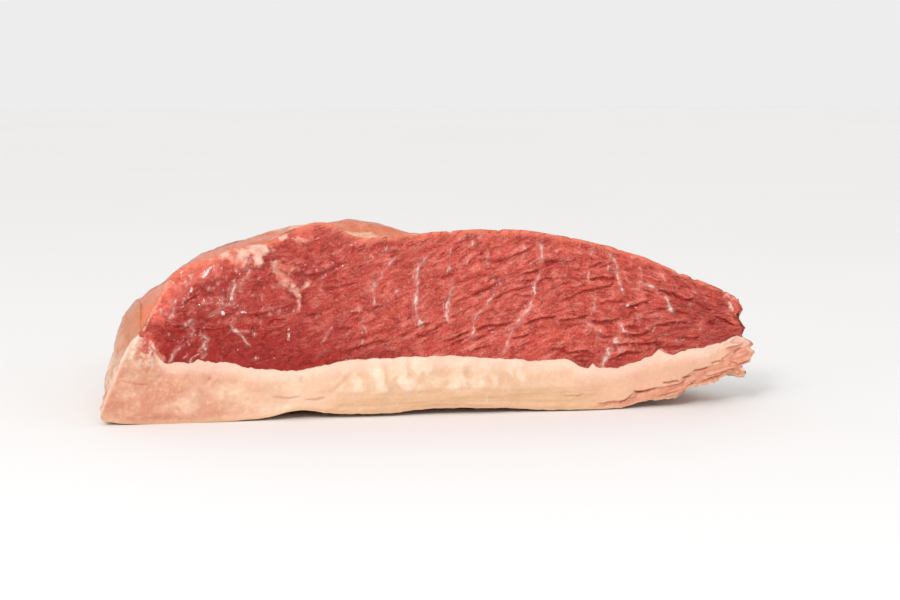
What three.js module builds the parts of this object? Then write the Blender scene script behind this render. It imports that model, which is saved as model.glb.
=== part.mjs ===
// Raw picanha, the whole rump cap of beef, lying on its fat.
//
// Seen from above it has three corners: a straight cut face at the front, a long thick left side and a
// long thin right side that meet at a narrow tip. It has two layers. The fat cap lies underneath, wraps up
// the left side and ends in torn flakes on the right. The lean lies in the fat, thickest behind the left
// of the cut face, with a hump there, and thins out to the right and to the tip.
//
// Units are millimetres. +X runs along the cut face to its thin end, +Y from the cut face to the tip, +Z up.
// The origin is on the surface that the piece lies on, under the middle of its outline.
import * as THREE from "three";
import { ImprovedNoise } from "three/addons/math/ImprovedNoise.js";
import { mergeVertices } from "three/addons/utils/BufferGeometryUtils.js";

// Driving dimensions.
const CUT_LEFT = -101.5; // the cut face's thick corner, down on the fat
const CUT_RIGHT = 106.2; // its thin corner, the end of the torn fat
const LEAN_LEFT = -89.6; // where the lean starts on the cut face
const LEAN_RIGHT = 102.9; // where it ends
const DEPTH = 185; // from the cut face to the tip
const LEAN_END = 0.955; // share of the depth where the lean runs out and the fat goes on alone
const LAYER_GAP = 0.35; // height between the lean and the fat that it lies in

// The cut face, as heights over x. Upper edge of the lean, from its left corner to its blunt right end.
const CUT_TOP = [
  [LEAN_LEFT, 27.3], [-87.2, 32.3], [-84.2, 37.8], [-82, 41.8], [-78.5, 46.6], [-72.9, 49.2], [-67, 50.8],
  [-60, 53.6], [-51, 55], [-46.5, 56.8], [-42.5, 59.1], [-36, 60.4], [-32.4, 61.2], [-29.5, 59.8],
  [-25.5, 57.4], [-21.4, 56], [-10, 56.4], [3, 57.5], [15.8, 58], [28.5, 57.8], [41.3, 55.8], [54.2, 52.9],
  [67.3, 48.9], [80.5, 43.4], [93.8, 37.9], [99.1, 35.2], [101.6, 33.4], [102.5, 31.4], [LEAN_RIGHT, 22.6],
];
// Between lean and fat. Left of the lean and right of it this is the outside of the fat.
const CUT_SEAM = [
  [CUT_LEFT, 2.8], [-100.8, 7.1], [-98.7, 11], [-95.8, 17.8], [-92.9, 24.1], [LEAN_LEFT, 27.3], [-84.7, 22.4],
  [-81.8, 18.4], [-74, 18.6], [-65, 18.2], [-52, 15.6], [-42.5, 15.1], [-25, 17.8], [0, 18.4], [22, 17],
  [35.6, 16.1], [43.2, 16.3], [48.6, 13.4], [61, 13.2], [66, 15], [72.5, 16.7], [89.2, 18.9],
  [LEAN_RIGHT, 22.6], [105, 20.4], [CUT_RIGHT, 17.7],
];
// Underside of the fat, which lifts off the surface at the thin end.
const CUT_BASE = [
  [CUT_LEFT, 2.8], [-99, 1.2], [-94, 0.4], [-84, 0], [-66, 0.1], [-52, 0.9], [-40.7, 3], [-28, 1.2],
  [-15, 1], [2, 2], [22, 1.6], [40, 0.4], [60, 0.3], [69, 2], [80, 2.6], [84, 5.4], [94, 7.9], [96.5, 9.6],
  [100, 8.9], [103, 9.1], [104.3, 12.3], [CUT_RIGHT, 17.7],
];

// Cross-sections behind the cut face, as heights over the share of the width.
const LEAN_FROM = (LEAN_LEFT - CUT_LEFT) / (CUT_RIGHT - CUT_LEFT);
const LEAN_TO = (LEAN_RIGHT - CUT_LEFT) / (CUT_RIGHT - CUT_LEFT);
const BODY_TOP = [
  [LEAN_FROM, 35], [0.08, 39], [0.106, 42.2], [0.135, 46.8], [0.16, 49.9], [0.19, 52.1], [0.223, 54.1],
  [0.26, 55.9], [0.32, 58.1], [0.37, 59.4], [0.403, 59.9], [0.43, 59.4], [0.457, 57.6], [0.485, 55.2],
  [0.51, 52.5], [0.56, 50.8], [0.65, 48.8], [0.75, 44.5], [0.85, 36.5], [0.93, 28.5], [0.97, 22.5],
  [LEAN_TO, 15.8],
];
const BODY_SEAM = [
  [0, 4.5], [0.004, 9], [0.0156, 17], [0.025, 25], [0.04, 31.8], [LEAN_FROM, 35], [0.08, 29], [0.11, 21],
  [0.16, 18], [0.35, 17.8], [0.6, 16.8], [0.8, 15.3], [0.93, 16], [LEAN_TO, 15.8], [1, 8.8],
];
const BODY_BASE = [[0, 4.5], [0.008, 1.2], [0.025, 0], [0.9, 0], [0.95, 1], [0.985, 3.2], [1, 8.8]];

// Along the depth, over its share: both sides of the outline, and the heights left of lean and fat.
const LEFT_SIDE = [
  [0, CUT_LEFT], [0.05, -100.8], [0.13, -100.4], [0.25, -98.4], [0.5, -91], [0.75, -79], [0.9, -69],
  [0.95, -64], [0.98, -58], [0.995, -51], [1, -46],
];
const RIGHT_SIDE = [
  [0, CUT_RIGHT], [0.05, 104.6], [0.15, 97], [0.3, 80], [0.5, 53], [0.7, 22], [0.85, -5], [0.95, -24],
  [0.98, -32], [0.995, -39], [1, -44],
];
const LEAN_LEFT_OVER = [
  [0, 1], [0.12, 1], [0.3, 0.92], [0.5, 0.81], [0.7, 0.65], [0.85, 0.46], [0.92, 0.31], [LEAN_END, 0],
];
const STAY_BEHIND = [[0, 0], [0.55, 0], [LEAN_END, 0.05], [1, 0.02]]; // the sides, behind the middle
const FAT_LEFT_OVER = [[0, 1], [0.15, 0.97], [0.4, 0.84], [0.7, 0.72], [0.9, 0.62], [0.97, 0.5], [1, 0.36]];
const TIP_LIFT = { from: 0.9, height: 3 }; // how far the underside curls up at the tip, and from which depth
const CUT_REACH = 0.11; // share of the depth over which the cut face's outline turns into the body's
const THIN_END = { from: 0.72, full: 0.9, reach: 0.3 }; // the underside there stays lifted further back

// Relief of the skin: slow waves of the outline and the seam, and two sizes of bump on the lean's top.
const OUTLINE_WAVE = { size: 22, height: 2, from: 5, full: 37 };
const SEAM_WAVE = { size: 34, height: 1.2 };
const BROAD_BUMP = { size: 30, height: 1.5 };
const SMALL_BUMP = { size: 13, height: 0.7 };
// The furrow runs between two muscle heads, from behind the hump towards the tip.
const FURROW = { x: -4, slant: 0.28, depth: 2.6, halfWidth: 13, from: 24, full: 60 };

// Relief of the cut face. Bundles of fibre lap over each other in the lean, and the fat splits into flakes.
const GRAIN_RISE = [[CUT_LEFT, 0], [-50, 4], [-15, 14], [20, 33], [50, 44], [75, 45], [CUT_RIGHT, 38]];
const BUNDLE = { height: 8.5, lap: 0.8, depth: 0.9, wander: 4, wanderSize: 22, patchSize: 17 };
const CUT_WAVE = { size: 26, height: 0.8 };
const FLAKE = { height: 3.4, depth: 1.6, slope: 0.11, wander: 1.5, wanderSize: 18, patchSize: 12 };
const TORN = { from: 38, full: 92 };
const FAT_WAVE = { size: 20, height: 0.7 };
const RELIEF_CLEAR = 4; // height over which the relief of the cut face fades out towards the seam
const END_NOTCH = { depth: 2.2, from: 96, height: 26, halfHeight: 3.2 }; // in the lean's blunt right end

// Corners of the mesh. The columns crowd at both ends of the cut face, and the rows behind its edge and at
// the tip.
const LEAN_COLUMNS = 57;
const LEAN_LAYERS = 18;
const FAT_LAYERS = 8;
const LEFT_RIM_COLUMNS = 5; // fat alone, left of the lean
const RIGHT_RIM_COLUMNS = 2; // fat alone, right of it
const DEPTH_ROWS = 18; // from the cut face to where the lean runs out
const TIP_ROWS = 3; // from there to the end of the fat
const COLUMN_CROWDING = 0.55;
const ROW_CROWDING = 0.7;
const WELD = 0.004; // corners closer than this are one

const MUSCLE = { color: 0xb5423b, roughness: 0.42, metalness: 0 };
const FAT = { color: 0xe8c3a0, roughness: 0.5, metalness: 0 };

const { lerp, clamp, smoothstep } = THREE.MathUtils;

/** A smooth curve through [where, height] points that never overshoots them, as a function of where. */
function through(points) {
  const slope = points.slice(1).map((p, i) => (p[1] - points[i][1]) / (p[0] - points[i][0]));
  const tangent = points.map((_, i) => {
    const before = slope[i - 1] ?? slope[i];
    const after = slope[i] ?? before;
    return before * after <= 0 ? 0 : (2 * before * after) / (before + after);
  });
  return (where) => {
    const at = clamp(where, points[0][0], points.at(-1)[0]);
    const i = Math.min(points.findLastIndex((p) => p[0] <= at), points.length - 2);
    const [[x0, y0], [x1, y1]] = [points[i], points[i + 1]];
    const t = (at - x0) / (x1 - x0);
    const bend = tangent[i] * t * (1 - t) ** 2 - tangent[i + 1] * t ** 2 * (1 - t);
    return lerp(y0, y1, t * t * (3 - 2 * t)) + (x1 - x0) * bend;
  };
}

const cutTop = through(CUT_TOP);
const cutSeam = through(CUT_SEAM);
const cutBase = through(CUT_BASE);
const bodyTop = through(BODY_TOP);
const bodySeam = through(BODY_SEAM);
const bodyBase = through(BODY_BASE);
const leftSide = through(LEFT_SIDE);
const rightSide = through(RIGHT_SIDE);
const leanLeftOver = through(LEAN_LEFT_OVER);
const fatLeftOver = through(FAT_LEFT_OVER);
const stayBehind = through(STAY_BEHIND);
const grainRise = through(GRAIN_RISE);

const perlin = new ImprovedNoise();
const NOISE_SHIFT = [3.1, 7.7, 1.3]; // keeps the noise off its own lattice, where it is zero
const NOISE_GAIN = 1.4; // brings it to about -1 to 1
/** Smooth noise about -1 to 1, with bumps of about the given size. */
const bumps = (x, y, z, size) => {
  const [sx, sy, sz] = NOISE_SHIFT;
  return perlin.noise(x / size + sx, y / size + sy, z / size + sz) * NOISE_GAIN;
};
/** 1 at the middle of a band and 0 from its half width on. */
const band = (distance, halfWidth) => 1 - smoothstep(Math.abs(distance), 0, halfWidth);
/** 1 where the noise is high and 0 where it is low, with a soft edge. */
const patch = (noise) => smoothstep(noise, -0.6, 0.3);
/** Place in a repeating layer, 0 at its lower edge and 1 at its upper one. */
const within = (layer) => layer - Math.floor(layer);

/** Where a column and a row of the piece stand in plan. */
function inPlan(share, depth) {
  const fromMiddle = 2 * share - 1;
  const y = DEPTH * depth * (1 - stayBehind(depth) * fromMiddle ** 2);
  const wave = bumps(share * 66, y, 0, OUTLINE_WAVE.size) * OUTLINE_WAVE.height;
  const inset = wave * smoothstep(y, OUTLINE_WAVE.from, OUTLINE_WAVE.full);
  return { x: lerp(leftSide(depth) + inset, rightSide(depth) - inset, share), y };
}

/** How much of the cut face's own outline is left this far in. */
const cutShare = (depth, reach = CUT_REACH) => 1 - smoothstep(depth, 0, reach);

/** Height of the underside. It is flat where the weight rests on it. */
function baseHeight(share, depth) {
  const cut = cutBase(lerp(CUT_LEFT, CUT_RIGHT, share));
  const lift = TIP_LIFT.height * smoothstep(depth, TIP_LIFT.from, 1);
  const reach = lerp(CUT_REACH, THIN_END.reach, smoothstep(share, THIN_END.from, THIN_END.full));
  return lerp(bodyBase(share) * fatLeftOver(depth) + lift, cut, cutShare(depth, reach));
}

/** Height of the seam between lean and fat. */
function seamHeight(share, depth) {
  const { x, y } = inPlan(share, depth);
  const cut = cutSeam(lerp(CUT_LEFT, CUT_RIGHT, share));
  const inside = smoothstep(share, LEAN_FROM, 3 * LEAN_FROM) * (1 - smoothstep(share, LEAN_TO, 1));
  const wave = bumps(x, y, 0, SEAM_WAVE.size) * SEAM_WAVE.height * inside;
  const body = (bodySeam(share) + wave) * fatLeftOver(depth);
  const height = lerp(body, cut, cutShare(depth));
  return lerp(height, baseHeight(share, depth), smoothstep(depth, LEAN_END, 1) ** 2);
}

/** Height of the lean's top: a broad hump, a shallow furrow between two muscle heads, and soft bumps. */
function topHeight(share, depth) {
  const { x, y } = inPlan(share, depth);
  const acrossCut = lerp(CUT_LEFT, CUT_RIGHT, share);
  const inside = smoothstep(share, LEAN_FROM, 4 * LEAN_FROM) * (1 - smoothstep(share, 0.85, LEAN_TO));
  const furrow = FURROW.depth * band(x - FURROW.x - FURROW.slant * y, FURROW.halfWidth);
  const broad = bumps(x, y, 0, BROAD_BUMP.size) * BROAD_BUMP.height;
  const small = bumps(x, y, BROAD_BUMP.size, SMALL_BUMP.size) * SMALL_BUMP.height;
  const relief = (broad + small - furrow) * inside * smoothstep(y, FURROW.from, FURROW.full);
  const body = (bodyTop(share) - bodySeam(share) + relief) * leanLeftOver(depth);
  const thickness = lerp(body, cutTop(acrossCut) - cutSeam(acrossCut), cutShare(depth));
  return seamHeight(share, depth) + Math.max(0, thickness);
}

/** The cut lean's relief: bundles of fibre that lap over each other like shingles, and slow waves. */
function grainRelief(x, z) {
  const wander = bumps(x, 0, z, BUNDLE.wanderSize) * BUNDLE.wander;
  const across = within((z - grainRise(x) + wander) / BUNDLE.height);
  const shingle = across < BUNDLE.lap ? across / BUNDLE.lap : (1 - across) / (1 - BUNDLE.lap);
  const bundles = BUNDLE.depth * (0.5 - shingle) * patch(bumps(x, 2, z, BUNDLE.patchSize));
  return bundles + bumps(x, 4, z, CUT_WAVE.size) * CUT_WAVE.height;
}

/** The cut fat's relief: smooth on the left, split into flakes towards the torn thin end. */
function flakeRelief(x, z) {
  const wander = bumps(x, 1, z, FLAKE.wanderSize) * FLAKE.wander;
  const across = within((z - FLAKE.slope * x + wander) / FLAKE.height);
  const torn = smoothstep(x, TORN.from, TORN.full) * patch(bumps(x, 8, z, FLAKE.patchSize));
  return FLAKE.depth * (across - 0.5) * torn + bumps(x, 3, z, FAT_WAVE.size) * FAT_WAVE.height;
}

/** A bite out of the lean's blunt right end, just above the fat. */
function endNotch(x, z) {
  const { depth, from, height, halfHeight } = END_NOTCH;
  return depth * smoothstep(x, from, LEAN_RIGHT) * band(z - height, halfHeight);
}

/** A place in the lean or the fat: share of the width, share of the depth, and up between two heights. */
function placed(share, depth, up, lower, upper, relief) {
  const { x, y } = inPlan(share, depth);
  const z = lerp(lower, upper, up);
  const clear = smoothstep(Math.abs(z - seamHeight(share, depth)), 2 * LAYER_GAP, RELIEF_CLEAR);
  const push = depth === 0 ? relief(x, z) * clear : 0;
  return new THREE.Vector3(x - endNotch(x, z) * cutShare(2 * depth), y + push, z);
}

/** Shares of the width in the lean, which crowd towards both of its ends. */
function leanShare(column) {
  const t = column / LEAN_COLUMNS;
  const crowded = t - (COLUMN_CROWDING * Math.sin(2 * Math.PI * t)) / (2 * Math.PI);
  return lerp(LEAN_FROM, LEAN_TO, crowded);
}

/** The fat has the lean's own columns under it, so that the two never cross, and a rim on each side. */
function fatShare(column) {
  if (column < LEFT_RIM_COLUMNS) return LEAN_FROM * (column / LEFT_RIM_COLUMNS);
  const under = column - LEFT_RIM_COLUMNS;
  if (under <= LEAN_COLUMNS) return leanShare(under);
  return lerp(LEAN_TO, 1, (under - LEAN_COLUMNS) / RIGHT_RIM_COLUMNS);
}

/** Rows stand close behind the cut edge, and again where the lean runs out and at the tip. */
function rowDepth(row) {
  if (row > DEPTH_ROWS) return lerp(LEAN_END, 1, (row - DEPTH_ROWS) / TIP_ROWS);
  const t = row / DEPTH_ROWS;
  return LEAN_END * (t - ROW_CROWDING * t * (1 - t) * (1 - 1.6 * t));
}

/** The two triangles of a four-sided field, folded along its shorter diagonal, without those of no area. */
function folded([a, b, c, d], at) {
  const shorter = at(a).distanceTo(at(c)) < at(b).distanceTo(at(d));
  const triangles = shorter ? [[a, b, c], [a, c, d]] : [[a, b, d], [b, c, d]];
  return triangles.filter((corners) => new Set(corners).size === 3);
}

/** A solid made from a divided box, each of whose corners goes where place(column, row, up) says. */
function moulded(name, columns, layers, rows, place, look) {
  const box = new THREE.BoxGeometry(1, 1, 1, columns, layers, rows);
  const corner = box.getAttribute("position");
  for (let i = 0; i < corner.count; i++) {
    const column = Math.round((corner.getX(i) + 0.5) * columns);
    const row = Math.round((0.5 - corner.getZ(i)) * rows);
    corner.setXYZ(i, ...place(column, row, corner.getY(i) + 0.5));
  }
  box.deleteAttribute("normal");
  box.deleteAttribute("uv");
  const welded = mergeVertices(box, WELD);
  const index = welded.getIndex().array;
  const at = (i) => new THREE.Vector3().fromBufferAttribute(welded.getAttribute("position"), i);
  const kept = [];
  for (let i = 0; i < index.length; i += 6) {
    const [a, b, d, , c] = index.slice(i, i + 6);
    kept.push(...folded([a, b, c, d], at).flat());
  }
  welded.setIndex(kept);
  welded.computeVertexNormals();
  const mesh = new THREE.Mesh(welded, new THREE.MeshStandardMaterial(look));
  mesh.name = name;
  return mesh;
}

/** The red muscle. Its sides and its tip run out to nothing on the fat. */
function lean() {
  const place = (column, row, up) => {
    const [share, depth] = [leanShare(column), rowDepth(row)];
    const floor = seamHeight(share, depth) + LAYER_GAP;
    const rim = column === 0 || column === LEAN_COLUMNS || row === DEPTH_ROWS;
    const top = rim ? floor : Math.max(topHeight(share, depth), floor + LAYER_GAP);
    return placed(share, depth, up, floor, top, grainRelief);
  };
  return moulded("lean", LEAN_COLUMNS, LEAN_LAYERS, DEPTH_ROWS, place, MUSCLE);
}

/** The layer of fat under the lean, up its left side and out beyond it on the right and at the tip. */
function fatCap() {
  const columns = LEFT_RIM_COLUMNS + LEAN_COLUMNS + RIGHT_RIM_COLUMNS;
  const rows = DEPTH_ROWS + TIP_ROWS;
  const place = (column, row, up) => {
    const [share, depth] = [fatShare(column), rowDepth(row)];
    const bottom = baseHeight(share, depth);
    const rim = column === 0 || column === columns || row === rows;
    const top = rim ? bottom : Math.max(seamHeight(share, depth), bottom + LAYER_GAP);
    return placed(share, depth, up, bottom, top, flakeRelief);
  };
  return moulded("fat_cap", columns, FAT_LAYERS, rows, place, FAT);
}

const picanha = new THREE.Group();
picanha.add(lean(), fatCap());

// The origin goes to the middle of the outline, at the height of the surface that the piece lies on.
const extent = new THREE.Box3().setFromObject(picanha);
const middle = extent.getCenter(new THREE.Vector3());
picanha.children.forEach((layer) => layer.geometry.translate(-middle.x, -middle.y, -extent.min.z));

export default picanha;
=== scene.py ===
"""Raw picanha on a pale floor: the finish of the cut lean, its membrane and its fat cap.

The two CAD solids, the lean and the fat cap, are copied, refined and sculpted with fine relief, and then
dressed with procedural materials. Places on the cut face are given in millimetres as (across, up): across
from the cut face's left corner, and up from the surface that the piece lies on. How far back a place lies
is counted from the plane of the cut face.
"""

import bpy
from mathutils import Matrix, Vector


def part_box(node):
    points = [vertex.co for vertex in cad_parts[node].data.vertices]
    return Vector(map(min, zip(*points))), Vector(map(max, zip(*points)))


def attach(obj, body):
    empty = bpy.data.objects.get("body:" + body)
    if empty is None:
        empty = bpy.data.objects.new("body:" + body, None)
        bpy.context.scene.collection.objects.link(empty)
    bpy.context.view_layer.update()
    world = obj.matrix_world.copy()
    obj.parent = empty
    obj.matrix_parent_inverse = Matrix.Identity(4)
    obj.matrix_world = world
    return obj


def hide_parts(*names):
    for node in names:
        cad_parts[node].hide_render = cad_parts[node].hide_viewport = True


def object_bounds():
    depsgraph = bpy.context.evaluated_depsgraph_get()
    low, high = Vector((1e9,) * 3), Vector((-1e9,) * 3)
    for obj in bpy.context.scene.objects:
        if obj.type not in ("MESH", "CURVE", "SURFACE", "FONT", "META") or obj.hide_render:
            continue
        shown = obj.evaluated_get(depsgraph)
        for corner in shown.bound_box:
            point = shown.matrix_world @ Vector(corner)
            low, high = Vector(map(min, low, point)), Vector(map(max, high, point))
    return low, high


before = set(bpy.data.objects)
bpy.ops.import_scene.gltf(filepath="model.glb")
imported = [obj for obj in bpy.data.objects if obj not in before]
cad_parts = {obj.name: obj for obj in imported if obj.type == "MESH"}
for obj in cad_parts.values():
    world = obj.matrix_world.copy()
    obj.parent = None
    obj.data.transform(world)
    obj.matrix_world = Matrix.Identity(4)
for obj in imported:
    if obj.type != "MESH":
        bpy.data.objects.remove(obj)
cad_box = [list(corner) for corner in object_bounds()]

import logging
import math
from abc import ABC, abstractmethod
from contextlib import contextmanager
from dataclasses import dataclass, field
from enum import Enum
from itertools import product
from typing import Iterator, Sequence, Union

import bpy
import numpy as np
from mathutils import Vector

log = logging.getLogger("picanha")

MM = 0.001
DEPTH = 185 * MM  # from the plane of the cut face to the tip
Array = np.ndarray
Place = tuple[float, float]
Rgb = tuple[float, float, float]


# ------------------------------------------------------------ numbers


def smooth_step(value: Array, low: float, high: float) -> Array:
    """Rises smoothly from 0 at low to 1 at high.

    Args:
        value: The values to read.
        low: Where the step starts; it may be above high, and the step then falls.
        high: Where it ends.

    Returns:
        Values from 0 to 1.
    """
    t = np.clip((value - low) / (high - low), 0.0, 1.0)
    return t * t * (3.0 - 2.0 * t)


def bell(distance: Array, width: float) -> Array:
    """A bump of height 1 around a distance of 0, which has fallen to about a third at its width."""
    return np.exp(-((distance / width) ** 2))


def linear(hex_colour: int) -> Rgb:
    """A colour written as on screen, such as 0xC0463C, as the linear light that shaders work in."""
    channels = [(hex_colour >> shift & 255) / 255 for shift in (16, 8, 0)]
    return tuple(c / 12.92 if c <= 0.04045 else ((c + 0.055) / 1.055) ** 2.4 for c in channels)


class Grit:
    """Seeded noise over arrays of places."""

    SIZE = 256
    GAIN = 1.7  # brings the noise to about -1 to 1

    def __init__(self, seed: int) -> None:
        """Draws the noise's tables.

        Args:
            seed: Any number; the same one gives the same noise.
        """
        self.draw = np.random.default_rng(seed)
        self.table = self.draw.permutation(self.SIZE)
        slopes = self.draw.normal(size=(self.SIZE, 3))
        self.slopes = slopes / np.linalg.norm(slopes, axis=1, keepdims=True)

    def _hash(self, cell: Array) -> Array:
        """One table entry for each lattice cell.

        Args:
            cell: The cells' whole coordinates.

        Returns:
            Whole numbers below the size of the table.
        """
        mixed = self.table[cell[:, 0] % self.SIZE]
        mixed = self.table[(mixed + cell[:, 1]) % self.SIZE]
        return self.table[(mixed + cell[:, 2]) % self.SIZE]

    def smooth(self, size: float, *axes: Array | float) -> Array:
        """Smooth noise, about -1 to 1.

        Args:
            size: Size of its bumps, in the unit of the places.
            axes: One to three coordinates of the places; a plain number picks another slice.

        Returns:
            One value for each place.
        """
        padded = list(axes) + [0.37 * size] * (3 - len(axes))
        places = np.stack(np.broadcast_arrays(*padded), axis=1) / size
        cell = np.floor(places).astype(int)
        within = places - cell
        fade = within**3 * (within * (within * 6 - 15) + 10)
        total = np.zeros(len(places))
        for corner in product((0, 1), repeat=3):
            weight = np.prod(np.where(corner, fade, 1 - fade), axis=1)
            total += weight * np.sum(self.slopes[self._hash(cell + corner)] * (within - corner), axis=1)
        return total * self.GAIN

    def layered(self, heights: dict[float, float], *axes: Array | float) -> Array:
        """Smooth noises on top of each other, from the height of the bumps of each size."""
        return sum(height * self.smooth(size, *axes) for size, height in heights.items())


# ------------------------------------------------------------ shaders

Input = Union["Wire", float, Rgb]


@dataclass(frozen=True)
class Wire:
    """The output of a shader node. Python's operators on it add Math nodes."""

    coat: "Coat"
    socket: bpy.types.NodeSocket | None

    def math(self, operation: str, *values: Input) -> "Wire":
        """The output of a new Math node with the given operation and inputs."""
        return self.coat.add("ShaderNodeMath", {"operation": operation}, dict(enumerate(values)))

    def __add__(self, other: Input) -> "Wire":
        """self + other."""
        return self.math("ADD", self, other)

    def __sub__(self, other: Input) -> "Wire":
        """self - other."""
        return self.math("SUBTRACT", self, other)

    def __rsub__(self, other: Input) -> "Wire":
        """other - self."""
        return self.math("SUBTRACT", other, self)

    def __mul__(self, other: Input) -> "Wire":
        """self * other."""
        return self.math("MULTIPLY", self, other)

    def __truediv__(self, other: Input) -> "Wire":
        """self / other."""
        return self.math("DIVIDE", self, other)

    def __abs__(self) -> "Wire":
        """abs(self)."""
        return self.math("ABSOLUTE", self)

    __radd__ = __add__
    __rmul__ = __mul__


class Coat:
    """A material under construction, and the nodes that its finish is made of."""

    def __init__(self, name: str) -> None:
        """Starts an empty material.

        Args:
            name: The material's name.
        """
        self.material = bpy.data.materials.new(name)
        self.material.use_nodes = True
        self.tree = self.material.node_tree
        self.tree.nodes.clear()

    def add(
        self,
        kind: str,
        settings: dict[str, object],
        sockets: dict[str | int, Input],
        output: str | int = 0,
    ) -> Wire:
        """Adds any node.

        Args:
            kind: The node's type.
            settings: What is set on the node first.
            sockets: A value or a wire for each input that isn't left as it is.
            output: Which output to return.

        Returns:
            That output, or an empty wire from a node that has none.
        """
        node = self.tree.nodes.new(kind)
        for name, value in settings.items():
            setattr(node, name, value)
        for name, value in sockets.items():
            socket = node.inputs[name]
            if isinstance(value, Wire):
                self.tree.links.new(value.socket, socket)
            elif isinstance(value, tuple) and len(socket.default_value) == 4:
                socket.default_value = (*value, 1.0)
            else:
                socket.default_value = value
        return Wire(self, node.outputs[output] if node.outputs else None)

    def attribute(self, name: str, output: str = "Fac") -> Wire:
        """A value or, with output "Vector", three values that the mesh carries."""
        return self.add("ShaderNodeAttribute", {"attribute_name": name}, {}, output)

    def place(self) -> Wire:
        """The place on the piece, in metres."""
        return self.add("ShaderNodeTexCoord", {}, {}, "Object")

    def parts(self, vector: Wire) -> tuple[Wire, ...]:
        """The three values of a vector, each as a wire."""
        node = self.add("ShaderNodeSeparateXYZ", {}, {0: vector}).socket.node
        return tuple(Wire(self, output) for output in node.outputs)

    def noise(
        self,
        place: Wire,
        scale: float,
        detail: float = 3.0,
        rough: float = 0.55,
        stretch: Rgb | None = None,
    ) -> Wire:
        """Smooth noise from 0 to 1.

        Args:
            place: The places that it is read at.
            scale: How many bumps fit a unit.
            detail: How many finer layers it has.
            rough: How much those count.
            stretch: What the places are multiplied by first, if anything.

        Returns:
            The noise.
        """
        if stretch:
            place = self.add("ShaderNodeVectorMath", {"operation": "MULTIPLY"}, {0: place, 1: stretch})
        sockets = {"Vector": place, "Scale": scale, "Detail": detail, "Roughness": rough}
        return self.add("ShaderNodeTexNoise", {}, sockets)

    def step(self, value: Wire, low: float, high: float) -> Wire:
        """Rises smoothly from 0 at low to 1 at high.

        Args:
            value: What is read.
            low: Where the step starts; it may be above high, and the step then falls.
            high: Where it ends.

        Returns:
            The step, from 0 to 1.
        """
        sockets = {"Value": value, "From Min": min(low, high), "From Max": max(low, high)}
        risen = self.add("ShaderNodeMapRange", {"interpolation_type": "SMOOTHSTEP"}, sockets)
        return risen if low < high else 1.0 - risen

    def mix(self, low: Input, high: Input, share: Input) -> Wire:
        """A colour between two others."""
        return self.add("ShaderNodeMix", {"data_type": "RGBA"}, {0: share, 6: low, 7: high}, 2)

    def tint(self, under: Wire | int, over: int, share: Input) -> Wire:
        """A colour, or a wire, with a share of another colour laid over it, both as on screen."""
        return self.mix(linear(under) if isinstance(under, int) else under, linear(over), share)

    def bump(self, height: Wire, distance: float) -> Wire:
        """A normal that leans as the given height, from 0 to 1 over the distance in metres, asks."""
        return self.add("ShaderNodeBump", {}, {"Height": height, "Distance": distance, "Strength": 1.0})

    def finish(self, sockets: dict[str | int, Input]) -> bpy.types.Material:
        """Closes the material with a principled shader.

        Args:
            sockets: The shader's inputs.

        Returns:
            The finished material.
        """
        shader = self.add("ShaderNodeBsdfPrincipled", {}, sockets)
        self.add("ShaderNodeOutputMaterial", {}, {"Surface": shader})
        return self.material


# ------------------------------------------------------------ marks


@dataclass(frozen=True)
class Mark:
    """A stroke on the cut face, such as a vein of fat, a patch or a crack.

    Attributes:
        path: The places that it passes, two or more.
        width: Its full width in millimetres.
        strength: How plainly it shows, from 0 to 1.
    """

    path: tuple[Place, ...]
    width: float
    strength: float

    def offsets(self, places: Array) -> tuple[Array, Array]:
        """How places lie to the stroke.

        Args:
            places: Their (across, up), in millimetres.

        Returns:
            The distance to the stroke's middle in half widths, with a different sign on each side, and
            the share of its length at which a place is nearest.
        """
        best = np.full(len(places), 1e9)
        side, share = np.ones(len(places)), np.zeros(len(places))
        corners = np.array(self.path, float)
        for i, (start, end) in enumerate(zip(corners[:-1], corners[1:])):
            run = end - start
            away = places - start
            t = np.clip(away @ run / (run @ run), 0.0, 1.0)
            distance = np.linalg.norm(away - t[:, None] * run, axis=1)
            closer = distance < best
            best = np.where(closer, distance, best)
            right_of = run[0] * away[:, 1] - run[1] * away[:, 0] < 0
            side = np.where(closer, np.where(right_of, -1.0, 1.0), side)
            share = np.where(closer, (i + t) / (len(corners) - 1), share)
        return side * best / (self.width / 2), share


def strokes(*rows: tuple[float | Place, ...]) -> tuple[Mark, ...]:
    """Strokes from rows of a width, a strength and the places that the stroke passes."""
    return tuple(Mark(row[2:], row[0], row[1]) for row in rows)


def drawn(marks: Sequence[Mark], places: Array, reach: float) -> tuple[Array, Array]:
    """Lays many strokes on a surface.

    Args:
        marks: The strokes.
        places: The surface's places, as (across, up) in millimetres.
        reach: How many half widths from its middle a stroke is followed.

    Returns:
        For each place the signed distance to the nearest stroke in half widths, and how strongly it
        counts, which falls to 0 within the reach and towards the stroke's ends.
    """
    offset = np.full(len(places), reach)
    strength = np.zeros(len(places))
    for mark in marks:
        low = np.min(mark.path, axis=0) - reach * mark.width
        high = np.max(mark.path, axis=0) + reach * mark.width
        near = np.flatnonzero(np.all((places > low) & (places < high), axis=1))
        if not len(near):
            continue
        away, share = mark.offsets(places[near])
        ends = smooth_step(np.minimum(share, 1 - share), -0.08, 0.12)
        count = mark.strength * ends * smooth_step(np.abs(away), reach, 0.6 * reach)
        better = count * (reach - np.abs(away)) > strength[near] * (reach - np.abs(offset[near]))
        chosen = near[better]
        offset[chosen] = np.clip(away[better], -reach, reach)
        strength[chosen] = count[better]
    return offset, strength


# ------------------------------------------------------------ meshes


class Look(Enum):
    """Which way a face looks."""

    CUT = (0.0, -1.0, 0.0)
    UP = (0.0, 0.0, 1.0)
    DOWN = (0.0, 0.0, -1.0)


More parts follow.
